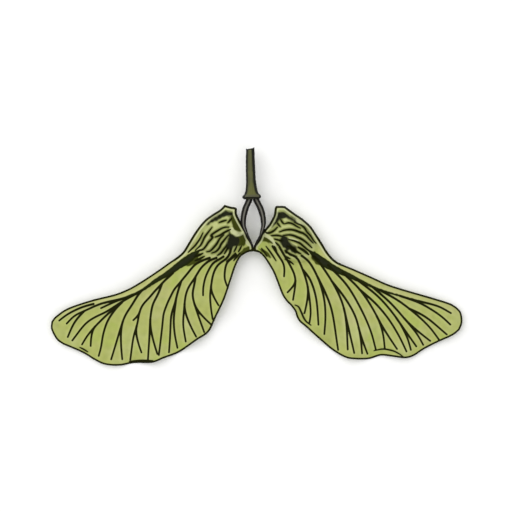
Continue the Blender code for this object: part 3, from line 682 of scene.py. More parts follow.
@dataclass
class WingedNutlet:
    """One samara: a nutlet with its wing, rib and veins, grown in one piece."""

    name: str
    plan: Plan
    shift: np.ndarray
    material: Material
    blade: BladeSizes = field(default_factory=BladeSizes)
    relief: ReliefSizes = field(default_factory=ReliefSizes)
    widths: LineWidths = field(default_factory=LineWidths)

    def build(self) -> Piece:
        """Build, shape and dress the piece.

        Returns:
            The finished object.
        """
        piece, cells = add_sheet(self.name + "_skin", self.blade.columns, self.blade.rows)
        self.points = self.spread()[cells[:, 0], cells[:, 1]]
        self.measure()
        self.thicken(piece)
        self.shape(piece)
        self.mark(piece)
        settle(piece, self.name, self.material, self.blade.sharp_angle)
        return piece

    def spread(self) -> np.ndarray:
        """Fill the plan's outline with a four-sided net.

        Returns:
            Places of the net's knots, by column and row.
        """
        plan = self.plan
        columns, rows = self.blade.columns + 1, self.blade.rows + 1
        front, back = (even_points(smooth_line(side, FINE_STEP), columns)[:, None]
                       for side in (plan.leading, plan.trailing))
        near, far = (even_points(smooth_line(side, FINE_STEP), rows)[None] for side in (plan.inner, plan.tip))
        along = np.linspace(0.0, 1.0, columns)[:, None, None]
        across = np.linspace(0.0, 1.0, rows)[None, :, None]
        net = (1 - across) * front + across * back[::-1] + (1 - along) * near + along * far
        net -= (1 - along) * ((1 - across) * near[:, :1] + across * near[:, -1:])
        net -= along * ((1 - across) * far[:, :1] + across * far[:, -1:])
        return net[:, ::-1] if plan.tip[0] > 0 else net

    def measure(self) -> None:
        """Measure every vertex against the plan's lines and patches."""
        points, plan, relief, widths = self.points, self.plan, self.relief, self.widths
        leading, outer, trailing, inner = (smooth_line(side, OUTLINE_STEP)
                                           for side in (plan.leading, plan.tip, plan.trailing, plan.inner))
        shoulder = smooth_line(plan.leading[: 2 * self.blade.shoulder_points], OUTLINE_STEP)
        self.to_leading = nearest(points, leading)[0]
        self.to_shoulder = nearest(points, np.vstack([inner[::-1], shoulder]))[0]
        self.to_margin = nearest(points, np.vstack([leading, outer, trailing, inner[::-1]]))[0]
        self.to_rib, self.rib_share = nearest(points, smooth_line(plan.rib, RIB_STEP))
        self.rib_half = np.interp(self.rib_share, *zip(*widths.rib))
        self.vein_gap = np.full(len(points), FAR)
        self.line_gap = np.full(len(points), FAR)
        self.vein_rise = np.zeros(len(points))
        for line in [line for vein in plan.veins for line in vein.lines()]:
            gap, share = nearest(points, line)
            half = widths.vein_root + (widths.vein_end - widths.vein_root) * share
            self.vein_gap = np.minimum(self.vein_gap, gap)
            self.line_gap = np.minimum(self.line_gap, gap - half)
            rise = np.exp(-((gap / relief.vein_spread) ** 2) * relief.vein_sharpness)
            self.vein_rise = np.maximum(self.vein_rise, (1 - relief.vein_fade * share) * rise)
        self.furrow_sink = self.sink_of(plan.furrows)
        # The furrows' and curls' dark strokes join the dark lines as painted shade.
        self.curl_sink = self.sink_of(plan.curls)
        self.under_gap = np.minimum(self.line_gap, self.to_margin - widths.under_margin)
        margin = widths.margin + widths.shoulder * ease(widths.shoulder_reach - self.to_shoulder)
        self.line_gap = np.minimum(self.line_gap, self.to_margin - margin)
        ragged = widths.ragged * wander(points, widths.ragged_length, plan.seed + 3)
        self.rib_gap = self.to_rib - self.rib_half + widths.rib_ragged_share * ragged
        # The hollows are painted dark as shade inside the dimples that they sink.
        self.hollow_gap = patch_gap(points, plan.hollows) + ragged
        # The facets are painted shade on the nutlet's sloping faces.
        self.facet_gap = patch_gap(points, plan.facets) + ragged
        # The highlight bands are painted highlights on the nutlet.
        self.highlight_gap = patch_gap(points, plan.highlight_bands)
        self.nutlet = self.nutlet_share()

    def sink_of(self, furrows: tuple[Furrow, ...]) -> np.ndarray:
        """Take furrows into the dark lines.

        Args:
            furrows: The furrows to measure.

        Returns:
            How deep each vertex is in a furrow, from 0 to 1.
        """
        sink = np.zeros(len(self.points))
        end, tip = self.relief.furrow_end, self.relief.furrow_tip
        for furrow in furrows:
            gap, share = nearest(self.points, smooth_line(furrow.run, PATCH_STEP))
            body = end + (1 - end) * np.sqrt(np.sin(math.pi * np.clip(share, tip, 1 - tip)))
            self.line_gap = np.minimum(self.line_gap, gap - furrow.half_width * body)
            sink = np.maximum(sink, body * hump(gap, self.relief.furrow_width))
        return sink

    def nutlet_share(self) -> np.ndarray:
        """Measure how far inside the nutlet's round edge the vertices are.

        Returns:
            1 in the middle of the nutlet, falling to 0 at its edge and outside it.
        """
        cosine, sine = math.cos(self.plan.nutlet_turn), math.sin(self.plan.nutlet_turn)
        axes = np.array([[cosine, sine], [-sine, cosine]])
        local = (self.points - self.plan.nutlet) @ axes.T / self.plan.nutlet_radii
        return np.clip(1 - (local**2).sum(axis=1), 0.0, 1.0)

    def middle_height(self) -> np.ndarray:
        """Measure the blade's middle, which droops to its tip and waves at its thin edge.

        Returns:
            Its height above the surface at each vertex.
        """
        blade = self.blade
        away = np.array(self.plan.tip[4:6]) - self.plan.nutlet
        along = (self.points - self.plan.nutlet) @ (away / np.linalg.norm(away)) - blade.stiff_length
        along = np.clip(along, 0.0, None)
        grown = ease(along / blade.wave_length)
        wave = blade.wave_height * np.sin(math.tau * along / blade.wave_length + self.plan.wave_phase)
        sag = (self.to_leading / blade.wing_width) ** 2 * grown * (blade.camber - wave)
        return blade.rest_height - blade.tip_droop * ease(along / blade.wing_length) - sag

    def half_thickness(self) -> np.ndarray:
        """Measure half of the thickness before the fine relief.

        Returns:
            The half thickness at each vertex.
        """
        blade = self.blade
        edge = np.clip(1 - self.to_margin / blade.margin_width, 0.0, 1.0)
        sheet = blade.margin_half + (blade.half_thickness - blade.margin_half) * np.sqrt(1 - edge**2)
        bead = ease(1 - self.to_leading / blade.bead_width) * ease(self.to_margin / blade.bead_edge)
        flank = ease(self.to_shoulder / blade.flank_width + blade.flank_start)
        bulge = blade.nutlet_half * self.nutlet**blade.nutlet_fullness * flank
        bulge *= ease(self.to_margin / blade.bulge_edge + blade.bulge_start)
        return np.sqrt((sheet + blade.bead_height * bead) ** 2 + bulge**2)

    def fine_relief(self) -> np.ndarray:
        """Measure how far the skin stands out of the plain blade or sinks into it.

        Returns:
            The relief at each vertex, positive where it stands out.
        """
        relief = self.relief
        on_nutlet = ease(self.nutlet * relief.nutlet_rise)
        rib = (1 - relief.rib_fade * self.rib_share) * hump(self.to_rib, self.rib_half + relief.rib_foot)
        height = np.maximum(relief.rib_height * rib, relief.vein_height * self.vein_rise)
        height -= relief.sink_between * ease(self.vein_gap / relief.sink_width) * (1 - rib)
        height += relief.margin_height * hump(self.to_margin - relief.margin_inset, relief.margin_spread)
        height += relief.pucker_height * wander(self.points, relief.pucker_length, self.plan.seed)
        height *= 1 - ease(self.nutlet * relief.blade_fall)
        rim = relief.rim_height * hump(self.to_shoulder - relief.rim_inset, relief.rim_width)
        groove = relief.groove_depth * hump(self.to_shoulder - relief.groove_inset, relief.groove_width)
        height += on_nutlet * (rim - groove) + on_nutlet * self.folds()
        height -= relief.furrow_depth * np.maximum(self.furrow_sink, relief.curl_share * self.curl_sink)
        height -= relief.hollow_depth * ease(relief.hollow_edge - self.hollow_gap / relief.hollow_width)
        return height

    def folds(self) -> np.ndarray:
        """Lay low uneven folds that run along the nutlet towards the wing.

        Returns:
            Their height at each vertex.
        """
        relief, seed = self.relief, self.plan.seed
        away = np.array(self.plan.rib[2:4]) - self.plan.nutlet
        away /= np.linalg.norm(away)
        across = self.points @ np.array([-away[1], away[0]])
        bent = across + relief.fold_bend * wander(self.points, relief.fold_bend_length, seed + 1)
        swell = 1 - relief.fold_swell + relief.fold_swell * wander(
            self.points, relief.fold_swell_length, seed + 2)
        return relief.fold_height * swell * np.sin(math.tau * bent / relief.fold_length)

    def thicken(self, piece: Piece) -> None:
        """Give the flat sheet its second face with a Solidify modifier.

        Args:
            piece: The flat sheet.
        """
        write_places(piece, np.column_stack([self.points * MM, np.zeros(len(self.points))]))
        shell = piece.modifiers.new("Second face", "SOLIDIFY")
        shell.thickness = 2 * self.blade.half_thickness * MM
        shell.offset = -1.0
        pick(piece)
        bpy.ops.object.modifier_apply(modifier=shell.name)

    def shape(self, piece: Piece) -> None:
        """Give both faces their heights; the lower face rests flat on the surface where it is low.

        Args:
            piece: The sheet with its two faces.
        """
        blade = self.blade
        middle = self.middle_height() - blade.lowered * (1 - ease(self.nutlet * blade.lowered_rise))
        half = self.half_thickness()
        self.height = self.fine_relief()
        least = blade.least_share * np.minimum(half, blade.half_thickness)
        resting = ease(self.nutlet * blade.resting_rise - blade.resting_start)
        upper = middle + np.maximum(half + self.height, least)
        lower = np.maximum(middle - np.maximum(half + self.height * (1 - resting), least), 0.0)
        upper = np.maximum(upper, lower + 2 * least)
        plan = np.vstack([self.points, self.points]) + self.shift
        write_places(piece, np.column_stack([plan, np.concatenate([upper, lower])]) * MM)

    def mark(self, piece: Piece) -> None:
        """Store the measures that the finish reads, in millimetres, for both faces.

        Args:
            piece: The shaped piece.
        """
        on_nutlet = ease(self.nutlet * self.widths.nutlet_rise)
        measures = {
            "line_gap": self.line_gap,
            "vein_gap": self.vein_gap,
            "rib_gap": self.rib_gap,
            # Reach of the painted shade beside the nutlet's furrows.
            "shade_gap": self.line_gap + self.widths.off_nutlet * (1 - on_nutlet),
            "hollow_gap": self.hollow_gap,
            "facet_gap": self.facet_gap,
            "highlight_gap": self.highlight_gap,
            # Where the pale line painted as the raised rim's highlight runs.
            "rim_highlight_gap": np.abs(self.to_shoulder - self.widths.rim_inset),
            "to_leading": self.to_leading,
            "nutlet": on_nutlet,
            "height": self.height,
        }
        lower = {**measures, "line_gap": self.under_gap}
        write_values(piece, {name: np.concatenate([measures[name], lower[name]]) for name in measures})


def roll_up(name: str, centres: np.ndarray, radii: np.ndarray, sides: int) -> Piece:
    """Roll a flat grid up into a closed round body.

    Args:
        name: Name of the new object.
        centres: Points of the body's middle line, three numbers each.
        radii: For each middle point, the radius all round it; the first and last are 0.
        sides: Faces around the body.

    Returns:
        The object.
    """
    sheet, cells = add_sheet(name, len(centres) - 1, sides)
    heading = np.gradient(centres, axis=0)
    heading /= np.maximum(np.linalg.norm(heading, axis=1), 1e-9)[:, None]
    level = np.cross(heading, (0.0, 0.0, 1.0))
    level /= np.linalg.norm(level, axis=1)[:, None]
    upward = np.cross(level, heading)
    along, around = cells[:, 0], cells[:, 1] % sides
    angle = math.tau * around / sides
    reach = radii[along, around]
    spoke = np.cos(angle)[:, None] * level[along] + np.sin(angle)[:, None] * upward[along]
    write_places(sheet, (centres[along] + reach[:, None] * spoke) * MM)
    # side is 0 along the top and underside and 1 at the flanks; the finishes paint highlights and shade by
    # it.
    write_values(sheet, {"side": np.abs(np.cos(angle)), "radius": reach})
    close_seams(sheet)
    return sheet


@dataclass(frozen=True)
class StalkSizes:
    """The cut stalk and its receptacle, in millimetres; the body's profile goes by shares of its length."""

    line: Run = (-1.25, 21.9, -1.15, 17.0, -0.90, 11.85)
    height: float = 2.45
    cut: Profile = ((0.34, 0.0), (0.30, 0.22), (0.16, 0.36), (0.05, 0.46), (-0.02, 0.58), (0.0, 0.68),
                    (0.06, 0.76))
    body: Profile = ((0.02, 0.81), (0.15, 0.87), (0.30, 0.91), (0.55, 0.96), (0.64, 0.98), (0.74, 1.07),
                     (0.82, 1.19), (0.86, 1.29), (0.89, 1.40), (0.91, 1.56), (0.93, 1.76), (0.95, 1.87),
                     (0.97, 1.84), (0.988, 1.68), (1.0, 1.48))
    socket: Profile = ((-0.02, 1.30), (-0.12, 1.18), (-0.30, 1.08), (-0.48, 0.90), (-0.52, 0.0))
    profile_step: float = 0.02
    sides: int = 96
    steps: int = 260
    slope: float = 0.22
    slope_length: float = 1.6
    saddle: float = 0.85
    saddle_middle: float = 0.32
    broken_depth: float = 0.07
    broken_length: float = 0.7
    lip_top: float = 12.85
    lip_bottom: float = 12.05
    # Where the painted highlight on the flare lies.
    flare_top: float = 15.9
    flare_bottom: float = 12.55
    flare_spread: float = 0.29
    # The painted shade on the stalk's sides leans to the right, away from the key lamp, and fades below the
    # middle.
    shade_lean: float = 0.08
    under_start: float = 0.05
    under_fade: float = 2.0
    rib_count: int = 5
    rib_turn: float = 0.4
    rib_depth: float = 0.035
    ridge_count: int = 17
    ridge_twist: float = 5.0
    ridge_depth: float = 0.016
    knob_depth: float = 0.02
    knob_length: float = 0.9
    knob_spread: float = 1.1
    knob_pitch: float = 0.045
    knob_seed: int = 5
    broken_seed: int = 11
    sharp_angle: float = 50.0


@dataclass
class Stalk:
    """The pedicel: a cut stalk that flares into a lipped receptacle."""

    shift: np.ndarray
    material: Material
    sizes: StalkSizes = field(default_factory=StalkSizes)

    def build(self) -> Piece:
        """Build and dress the piece.

        Returns:
            The finished object.
        """
        sizes = self.sizes
        centres, radii = self.profile()
        angle = math.tau * np.arange(sizes.sides) / sizes.sides
        share = np.linspace(0.0, 1.0, len(radii))[:, None]
        ring = np.column_stack([np.cos(angle), np.sin(angle)]) * sizes.knob_spread
        ripple = sizes.rib_depth * np.cos(sizes.rib_count * angle + sizes.rib_turn)[None]
        ripple = ripple + sizes.ridge_depth * np.cos(sizes.ridge_count * angle + sizes.ridge_twist * share)
        knobs = np.array([wander(ring + (0.0, row * sizes.knob_pitch), sizes.knob_length, sizes.knob_seed)
                          for row in range(len(radii))])
        rough = radii[:, None] * (1 + ripple + sizes.knob_depth * knobs)
        piece = roll_up("pedicel_bark", centres, rough, sizes.sides)
        self.slant(piece, centres[0])
        self.mark(piece)
        settle(piece, "pedicel", self.material, sizes.sharp_angle)
        return piece

    def profile(self) -> tuple[np.ndarray, np.ndarray]:
        """Lay out the stalk's middle line and its radii, with the cut end and the socket.

        Returns:
            The middle points and their radii.
        """
        sizes = self.sizes
        line = smooth_line(sizes.line, FINE_STEP)
        length = np.linalg.norm(np.diff(line, axis=0), axis=1).sum()
        body = tuple((share * length, radius) for share, radius in sizes.body)
        socket = tuple((length + along, radius) for along, radius in sizes.socket)
        stations = even_points(smooth_line(sizes.cut + body + socket, sizes.profile_step), sizes.steps)
        stations[0, 1] = stations[-1, 1] = 0.0
        on_line = np.clip(stations[:, 0], 0.0, length)
        places = on_line / length * (len(line) - 1)
        middle = np.column_stack([np.interp(places, np.arange(len(line)), line[:, axis])
                                  for axis in range(2)])
        heading = (line[-1] - line[0]) / np.linalg.norm(line[-1] - line[0])
        middle += (stations[:, 0] - on_line)[:, None] * heading + self.shift
        centres = np.column_stack([middle, np.full(len(middle), sizes.height)])
        return centres, np.maximum(stations[:, 1], 0.0)

    def slant(self, piece: Piece, top: np.ndarray) -> None:
        """Cut the top off at a slant, with an uneven broken rim that dips in the middle.

        Args:
            piece: The stalk.
            top: Middle of its upper end, in millimetres.
        """
        sizes = self.sizes
        places = read_places(piece)
        near = ease(1 - (top[1] - places[:, 1] / MM) / sizes.slope_length)
        across = places[:, 0] / MM - top[0]
        broken = sizes.broken_depth * wander(places[:, [0, 2]] / MM, sizes.broken_length, sizes.broken_seed)
        dip = sizes.slope * across + sizes.saddle * (across**2 - sizes.saddle_middle)
        places[:, 1] += near * (dip + broken) * MM
        write_places(piece, places)

    def mark(self, piece: Piece) -> None:
        """Store how far the lip, the painted highlight on the flare and the painted shade on the stalk's
        sides and under the lip are, in millimetres.

        Args:
            piece: The stalk.
        """
        sizes = self.sizes
        places = read_places(piece) / MM
        across, down = (places[:, :2] - self.shift).T
        line = smooth_line(sizes.line, FINE_STEP)
        offset = across - np.interp(-down, -line[:, 1], line[:, 0])
        below = np.clip(sizes.height - sizes.under_start - places[:, 2], 0.0, None)
        radius = np.hypot(offset, places[:, 2] - sizes.height)
        flare = np.abs(offset) - (sizes.flare_top - down) * sizes.flare_spread
        write_values(piece, {
            "side_shade_gap": radius - np.abs(offset + sizes.shade_lean) + sizes.under_fade * below,
            "lip_gap": (np.abs(down - (sizes.lip_top + sizes.lip_bottom) / 2)
                        - (sizes.lip_top - sizes.lip_bottom) / 2),
            "flare_gap": np.maximum(flare, sizes.flare_bottom - down),
            "lip_shade_gap": np.abs(down - sizes.lip_bottom),
        })


@dataclass(frozen=True)
class ForkSizes:
    """The two arms of the carpophore, in millimetres; heights and radii go by shares of an arm's length."""

    left: Run = (-1.28, 12.1, -1.75, 11.0, -2.2, 9.95, -2.6, 8.2, -2.62, 6.7, -2.27, 5.6, -1.75, 4.5,
                 -1.22, 3.4, -0.72, 2.1)
    right: Run = (-0.30, 12.1, 0.3, 10.95, 0.86, 9.75, 1.27, 8.2, 1.36, 6.6, 1.00, 5.2, 0.6, 4.2, 0.06, 3.3,
                  -0.46, 2.1)
    heights: Profile = ((0.0, 2.45), (0.25, 2.62), (0.45, 2.95), (0.7, 3.05), (1.0, 2.72))
    height_step: float = 0.01
    radii: Profile = ((0.0, 0.50), (0.05, 0.60), (0.3, 0.60), (0.5, 0.50), (0.62, 0.38), (0.75, 0.24),
                      (0.95, 0.18), (1.0, 0.08))
    steps: int = 150
    sides: int = 40
    strand_count: int = 6
    strand_depth: float = 0.06
    strand_twist: float = 2.0
    right_turn: float = 1.1
    knob_depth: float = 0.04
    knob_length: float = 1.3
    knob_spread: float = 9.0
    knob_seed: int = 17
    sharp_angle: float = 50.0


@dataclass
class Fork:
    """The carpophore: two bowed arms that leave the receptacle and hold the nutlets."""

    shift: np.ndarray
    material: Material
    sizes: ForkSizes = field(default_factory=ForkSizes)

    def build(self) -> Piece:
        """Build both arms, join them and dress them.

        Returns:
            The finished object.
        """
        left = self.arm("carpophore_strand", self.sizes.left, 0.0)
        right = self.arm("carpophore_strand_right", self.sizes.right, self.sizes.right_turn)
        pick(left)
        right.select_set(True)
        bpy.ops.object.join()
        settle(left, "carpophore", self.material, self.sizes.sharp_angle)
        return left

    def arm(self, name: str, run: Run, turn: float) -> Piece:
        """Build one tapering arm with its fibre strands.

        Args:
            name: Name of the new object.
            run: Its middle line in plan.
            turn: Turn of its strands, in radians.

        Returns:
            The arm.
        """
        sizes = self.sizes
        line = even_points(smooth_line(run, FINE_STEP), sizes.steps) + self.shift
        share = np.linspace(0.0, 1.0, sizes.steps)
        heights = smooth_line(sizes.heights, sizes.height_step)
        centres = np.column_stack([line, np.interp(share, heights[:, 0], heights[:, 1])])
        angle = math.tau * np.arange(sizes.sides) / sizes.sides
        strands = np.cos(sizes.strand_count * angle[None] + sizes.strand_twist * share[:, None] + turn)
        knobs = wander(np.column_stack([share * sizes.knob_spread, share]), sizes.knob_length,
                       sizes.knob_seed)
        plain = np.interp(share, *zip(*sizes.radii))[:, None]
        radii = plain * (1 + sizes.strand_depth * strands + sizes.knob_depth * knobs[:, None])
        radii[0] = radii[-1] = 0.0
        return roll_up(name, centres, radii, sizes.sides)


# Finishes.

# Sockets of a Mix node for colours: its factor, the colours below, the colour above, and its result.
MIX_FACTOR, MIX_BELOW, MIX_ABOVE, MIX_RESULT = 0, 6, 7, 2


def linear(colour: str) -> tuple[float, float, float, float]:
    """Turn an sRGB hex colour into linear light, with full opacity."""
    parts = [int(colour[place : place + 2], 16) / 255 for place in (1, 3, 5)]
    return (*[part / 12.92 if part <= 0.04045 else ((part + 0.055) / 1.055) ** 2.4 for part in parts], 1.0)


def add_node(tree: Tree, kind: str, settings: dict | None = None, sockets: dict | None = None,
             links: dict | None = None) -> bpy.types.Node:
    """Add a shader node.

    Args:
        tree: The tree that it goes into.
        kind: Blender's name for its type.
        settings: Its own properties.
        sockets: Constants of its inputs, by name or number.
        links: Outputs of other nodes that feed its inputs, by name or number.

    Returns:
        The new node.
    """
    node = tree.nodes.new(kind)
    for name, value in (settings or {}).items():
        setattr(node, name, value)
    for name, value in (sockets or {}).items():
        node.inputs[name].default_value = value
    for name, source in (links or {}).items():
        tree.links.new(source, node.inputs[name])
    return node


@dataclass(frozen=True)
class Spots:
    """Soft uneven spots: their size in millimetres, the noise where they start and are full, and a seed."""

    size: float
    start: float
    full: float
    seed: float

    def mask(self, tree: Tree) -> Socket:
        """Make the mask.

        Args:
            tree: The tree that it goes into.

        Returns:
            A socket that is 1 in the spots and 0 between them.
        """
        place = add_node(tree, "ShaderNodeTexCoord")
        noise = add_node(tree, "ShaderNodeTexNoise", {"noise_dimensions": "4D"},
                         {"Scale": 1 / (self.size * MM), "Detail": 3.0, "Roughness": 0.55, "W": self.seed},
                         {"Vector": place.outputs["Object"]})
        return add_node(tree, "ShaderNodeMapRange", {"interpolation_type": "SMOOTHSTEP"},
                        {"From Min": self.start, "From Max": self.full},
                        {"Value": noise.outputs["Fac"]}).outputs[0]


@dataclass(frozen=True)
class Within:
    """A soft-edged zone by a stored measure: the values where it is full and where it has faded out."""

    measure: str
    full: float
    gone: float

    def mask(self, tree: Tree) -> Socket:
        """Make the mask.

        Args:
            tree: The tree that it goes into.

        Returns:
            A socket that is 1 in the zone and 0 outside it.
        """
        stored = add_node(tree, "ShaderNodeAttribute", {"attribute_name": self.measure})
        return add_node(tree, "ShaderNodeMapRange", {"interpolation_type": "SMOOTHSTEP"},
                        {"From Min": self.full, "From Max": self.gone, "To Min": 1.0, "To Max": 0.0},
                        {"Value": stored.outputs["Fac"]}).outputs[0]


@dataclass(frozen=True)
class Coat:
    """One colour laid over those below it: where it shows, and how strongly it covers."""

    colour: str
    where: Spots | Within
    share: float = 1.0


@dataclass(frozen=True)
class Finish:
    """What all finishes share: a matt shader, its ground colour with coats over it, and a fine grain.

    The grain of real bark and fibre is finer than 0.1 mm. It is drawn coarser, so that it shows.
    """

    name: str
    ground: str
    roughness: float
    ior: float = 1.5
    specular: float = 0.5
    grain_size: float = 0.25

    def coats(self) -> tuple[Coat, ...]:
        """List the coats, from the lowest up; every finish has at least one."""
        raise NotImplementedError

    def surface(self, tree: Tree) -> dict[str, Socket]:
        """Make the bumps of the grain.

        Args:
            tree: The tree that they go into.

        Returns:
            What feeds the shader besides its colour, by the name of its input.
        """
        place = add_node(tree, "ShaderNodeTexCoord")
        grain = add_node(tree, "ShaderNodeTexNoise", {}, {"Scale": 1 / (self.grain_size * MM), "Detail": 5.0},
                         {"Vector": place.outputs["Object"]})
        bump = add_node(tree, "ShaderNodeBump", {}, {"Strength": 0.5, "Distance": 0.04 * MM},
                        {"Height": grain.outputs["Fac"]})
        return {"Normal": bump.outputs["Normal"]}

    def make(self) -> Material:
        """Build the material.

        Returns:
            The finished material.
        """
        material = bpy.data.materials.new(self.name)
        material.use_nodes = True
        tree = material.node_tree
        tree.nodes.clear()
        below = {}
        for coat in self.coats():
            amount = add_node(tree, "ShaderNodeMath", {"operation": "MULTIPLY"}, {1: coat.share},
                              {0: coat.where.mask(tree)})
            mix = add_node(tree, "ShaderNodeMix", {"data_type": "RGBA"},
                           {MIX_BELOW: linear(self.ground), MIX_ABOVE: linear(coat.colour)},
                           {MIX_FACTOR: amount.outputs[0], **below})
            below = {MIX_BELOW: mix.outputs[MIX_RESULT]}
        shader = add_node(tree, "ShaderNodeBsdfPrincipled", {},
                          {"Roughness": self.roughness, "IOR": self.ior, "Specular IOR Level": self.specular},
                          {"Base Color": below[MIX_BELOW], **self.surface(tree)})
        add_node(tree, "ShaderNodeOutputMaterial", {}, {}, {"Surface": shader.outputs["BSDF"]})
        return material


@dataclass(frozen=True)
class SamaraSkin(Finish):
    """Papery samara skin, grown and half dried: matt yellow-green film over dark woody veins, faintly waxy.

    The net of veinlets is at its real size.
    The fibres are drawn some four times too coarse, so that they show.
    """

    name: str = "samara_skin_papery"
    ground: str = "#adb366"
    film_fresh: str = "#a9b859"
    film_beige: str = "#bab784"
    film_pale: str = "#bcc188"
    nutlet: str = "#b4b97d"
    sunk_shade: str = "#8a9350"
    stroke_shade: str = "#6f7634"
    facet_shade: str = "#3f4510"
    hollow_shade: str = "#212315"
    rib: str = "#1e2404"
    rib_back: str = "#26271f"
    line: str = "#191b00"
    rim: str = "#c3c798"
    roughness: float = 0.60
    ior: float = 1.45
    specular: float = 0.06
    net_size: float = 0.75
    grain_size: float = 0.22

    def coats(self) -> tuple[Coat, ...]:
        """List the coats, from the film up to the dark lines.

        Returns:
            The coats, the lowest first.
        """
        return (
            Coat(self.film_pale, Spots(6.0, 0.45, 0.7, 1.0), 0.55),
            Coat(self.film_fresh, Spots(4.0, 0.5, 0.68, 2.0), 0.7),
            Coat(self.film_beige, Spots(7.5, 0.54, 0.7, 3.0), 0.6),
            Coat(self.film_beige, Within("to_leading", 1.0, 2.2), 0.4),
            # A faint pale band painted beside the veins as a highlight on their flanks.
            Coat(self.film_pale, Within("vein_gap", 0.3, 0.6), 0.18),
            Coat(self.nutlet, Within("nutlet", 0.9, 0.0), 0.9),
            # Painted shade in every low place of the skin: the nutlet's furrows, groove and hollows, and
            # faintly between the wing's veins.
            Coat(self.sunk_shade, Within("height", -0.22, 0.0), 0.5),
            # Painted shade beside the nutlet's dark furrows.
            Coat(self.stroke_shade, Within("shade_gap", 0.05, 0.36), 0.62),
            # Dark patches painted as shade on the nutlet's sloping faces; those at the rib's root also darken
            # the rib's start.
            Coat(self.facet_shade, Within("facet_gap", -0.16, 0.20)),
            # Pale bands painted on the nutlet as highlights.
            Coat(self.rim, Within("highlight_gap", -0.05, 0.15), 0.85),
            # Near-black patches painted as shade in the sunk hollows.
            Coat(self.hollow_shade, Within("hollow_gap", -0.24, 0.24)),
            # A pale line painted along the raised rim under the shoulder as its highlight.
            Coat(self.rim, Within("rim_highlight_gap", 0.10, 0.22), 0.8),
            Coat(self.rib, Within("rib_gap", -0.08, 0.08)),
            Coat(self.rib_back, Within("rib_gap", -0.6, -0.25), 0.5),
            # Dark lines: the veins' and margin's own dark colour, and painted shade in the nutlet's furrows
            # and under the curled trailing edge.
            Coat(self.line, Within("line_gap", -0.05, 0.05)),
        )

    def surface(self, tree: Tree) -> dict[str, Socket]:
        """Make the uneven gloss, the net of veinlets and the fibres too fine for the mesh.

        Args:
            tree: The tree that they go into.

        Returns:
            The roughness and the normals.
        """
        rough = add_node(tree, "ShaderNodeMapRange", {},
                         {"To Min": self.roughness - 0.07, "To Max": self.roughness + 0.1},
                         {"Value": Spots(1.4, 0.3, 0.7, 5.0).mask(tree)})
        place = add_node(tree, "ShaderNodeTexCoord")
        net = add_node(tree, "ShaderNodeTexVoronoi", {"feature": "DISTANCE_TO_EDGE"},
                       {"Scale": 1 / (self.net_size * MM)}, {"Vector": place.outputs["Object"]})
        net_bump = add_node(tree, "ShaderNodeBump", {"invert": True},
                            {"Strength": 0.35, "Distance": 0.04 * MM},
                            {"Height": net.outputs["Distance"]})
        fibres = add_node(tree, "ShaderNodeTexNoise", {},
                          {"Scale": 1 / (self.grain_size * MM), "Detail": 4.0},
                          {"Vector": place.outputs["Object"]})
        bump = add_node(tree, "ShaderNodeBump", {}, {"Strength": 0.3, "Distance": 0.03 * MM},
                        {"Height": fibres.outputs["Fac"], "Normal": net_bump.outputs["Normal"]})
        return {"Roughness": rough.outputs[0], "Normal": bump.outputs["Normal"]}


@dataclass(frozen=True)
class StalkBark(Finish):
    """Thin green bark of a cut stalk, grown and half dried: olive, matt, finely ridged, with painted shade on
    its sides and under its lip and painted highlights along its top, on its lip and on its flare.
    """

    name: str = "stalk_bark_green"
    ground: str = "#4a4b2c"
    light: str = "#5f6040"
    fresh: str = "#6a6c3c"
    flare: str = "#5d5f33"
    dark: str = "#0e0f06"
    lip: str = "#55553f"
    speck: str = "#77765a"
    roughness: float = 0.66
    ior: float = 1.46
    specular: float = 0.2

    def coats(self) -> tuple[Coat, ...]:
        """List the coats, from the bark up to the painted shade on its sides and under the lip.

        Returns:
            The coats, the lowest first.
        """
        return (
            # Painted highlight along the stalk's top and underside.
            Coat(self.light, Within("side", 0.05, 0.4), 0.7),
            Coat(self.fresh, Spots(1.6, 0.5, 0.7, 7.0), 0.35),
            # A grey band painted round the lip as its highlight.
            Coat(self.lip, Within("lip_gap", -0.2, 0.0)),
            # A lighter patch painted on the flare as a highlight.
            Coat(self.flare, Within("flare_gap", -0.3, 0.1)),
            Coat(self.speck, Spots(0.35, 0.66, 0.74, 8.0), 0.4),
            # Painted shade on the stalk's sides, wider on the side away from the key lamp.
            Coat(self.dark, Within("side_shade_gap", 0.38, 0.54)),
            # Painted shade along the lower edge of the lip.
            Coat(self.dark, Within("lip_shade_gap", 0.10, 0.26)),
        )


@dataclass(frozen=True)
class DriedStrand(Finish):
    """Dried fibre strand, grown and weathered: grey-brown, matt, with painted shade on its sides and a pale
    painted highlight along its back.
    """

    name: str = "fork_strand_dried"
    ground: str = "#3a3830"
    # Pale grey painted along the arms' back as a highlight.
    back: str = "#6c6a62"
    dark: str = "#0d0c08"
    roughness: float = 0.7
    specular: float = 0.2
    grain_size: float = 0.2

    def coats(self) -> tuple[Coat, ...]:
        """List the coats, from the painted highlight along the back to the painted shade on the sides and the
        dark thin ends.

        Returns:
            The coats, the lowest first.
        """
        return (
            # Painted highlight along the top and underside of each arm.
            Coat(self.back, Within("side", 0.14, 0.32), 0.95),
            Coat(self.ground, Spots(0.8, 0.5, 0.7, 9.0), 0.35),
            # Painted shade on the arms' sides.
            Coat(self.dark, Within("side", 0.38, 0.24)),
            Coat(self.dark, Within("radius", 0.22, 0.34)),
        )


@dataclass(frozen=True)
class PaperSheet(Finish):
    """White drawing paper, rolled: matt, smooth and very slightly uneven in tone."""

    name: str = "floor_paper_white"
    ground: str = "#fefefd"
    shade: str = "#fbfbf9"
    roughness: float = 0.85

    def coats(self) -> tuple[Coat, ...]:
        """List the one coat, a faint shade in spots."""
        return (Coat(self.shade, Spots(3.0, 0.4, 0.7, 10.0), 0.5),)

    def surface(self, tree: Tree) -> dict[str, Socket]:
        """Leave the paper smooth."""
        return {}


# The studio.


@dataclass(frozen=True)
class Lamp:
    """One soft lamp: where it hangs in metres, its size and its power in watts."""

    name: str
    place: tuple[float, float, float]
    size: float
    power: float


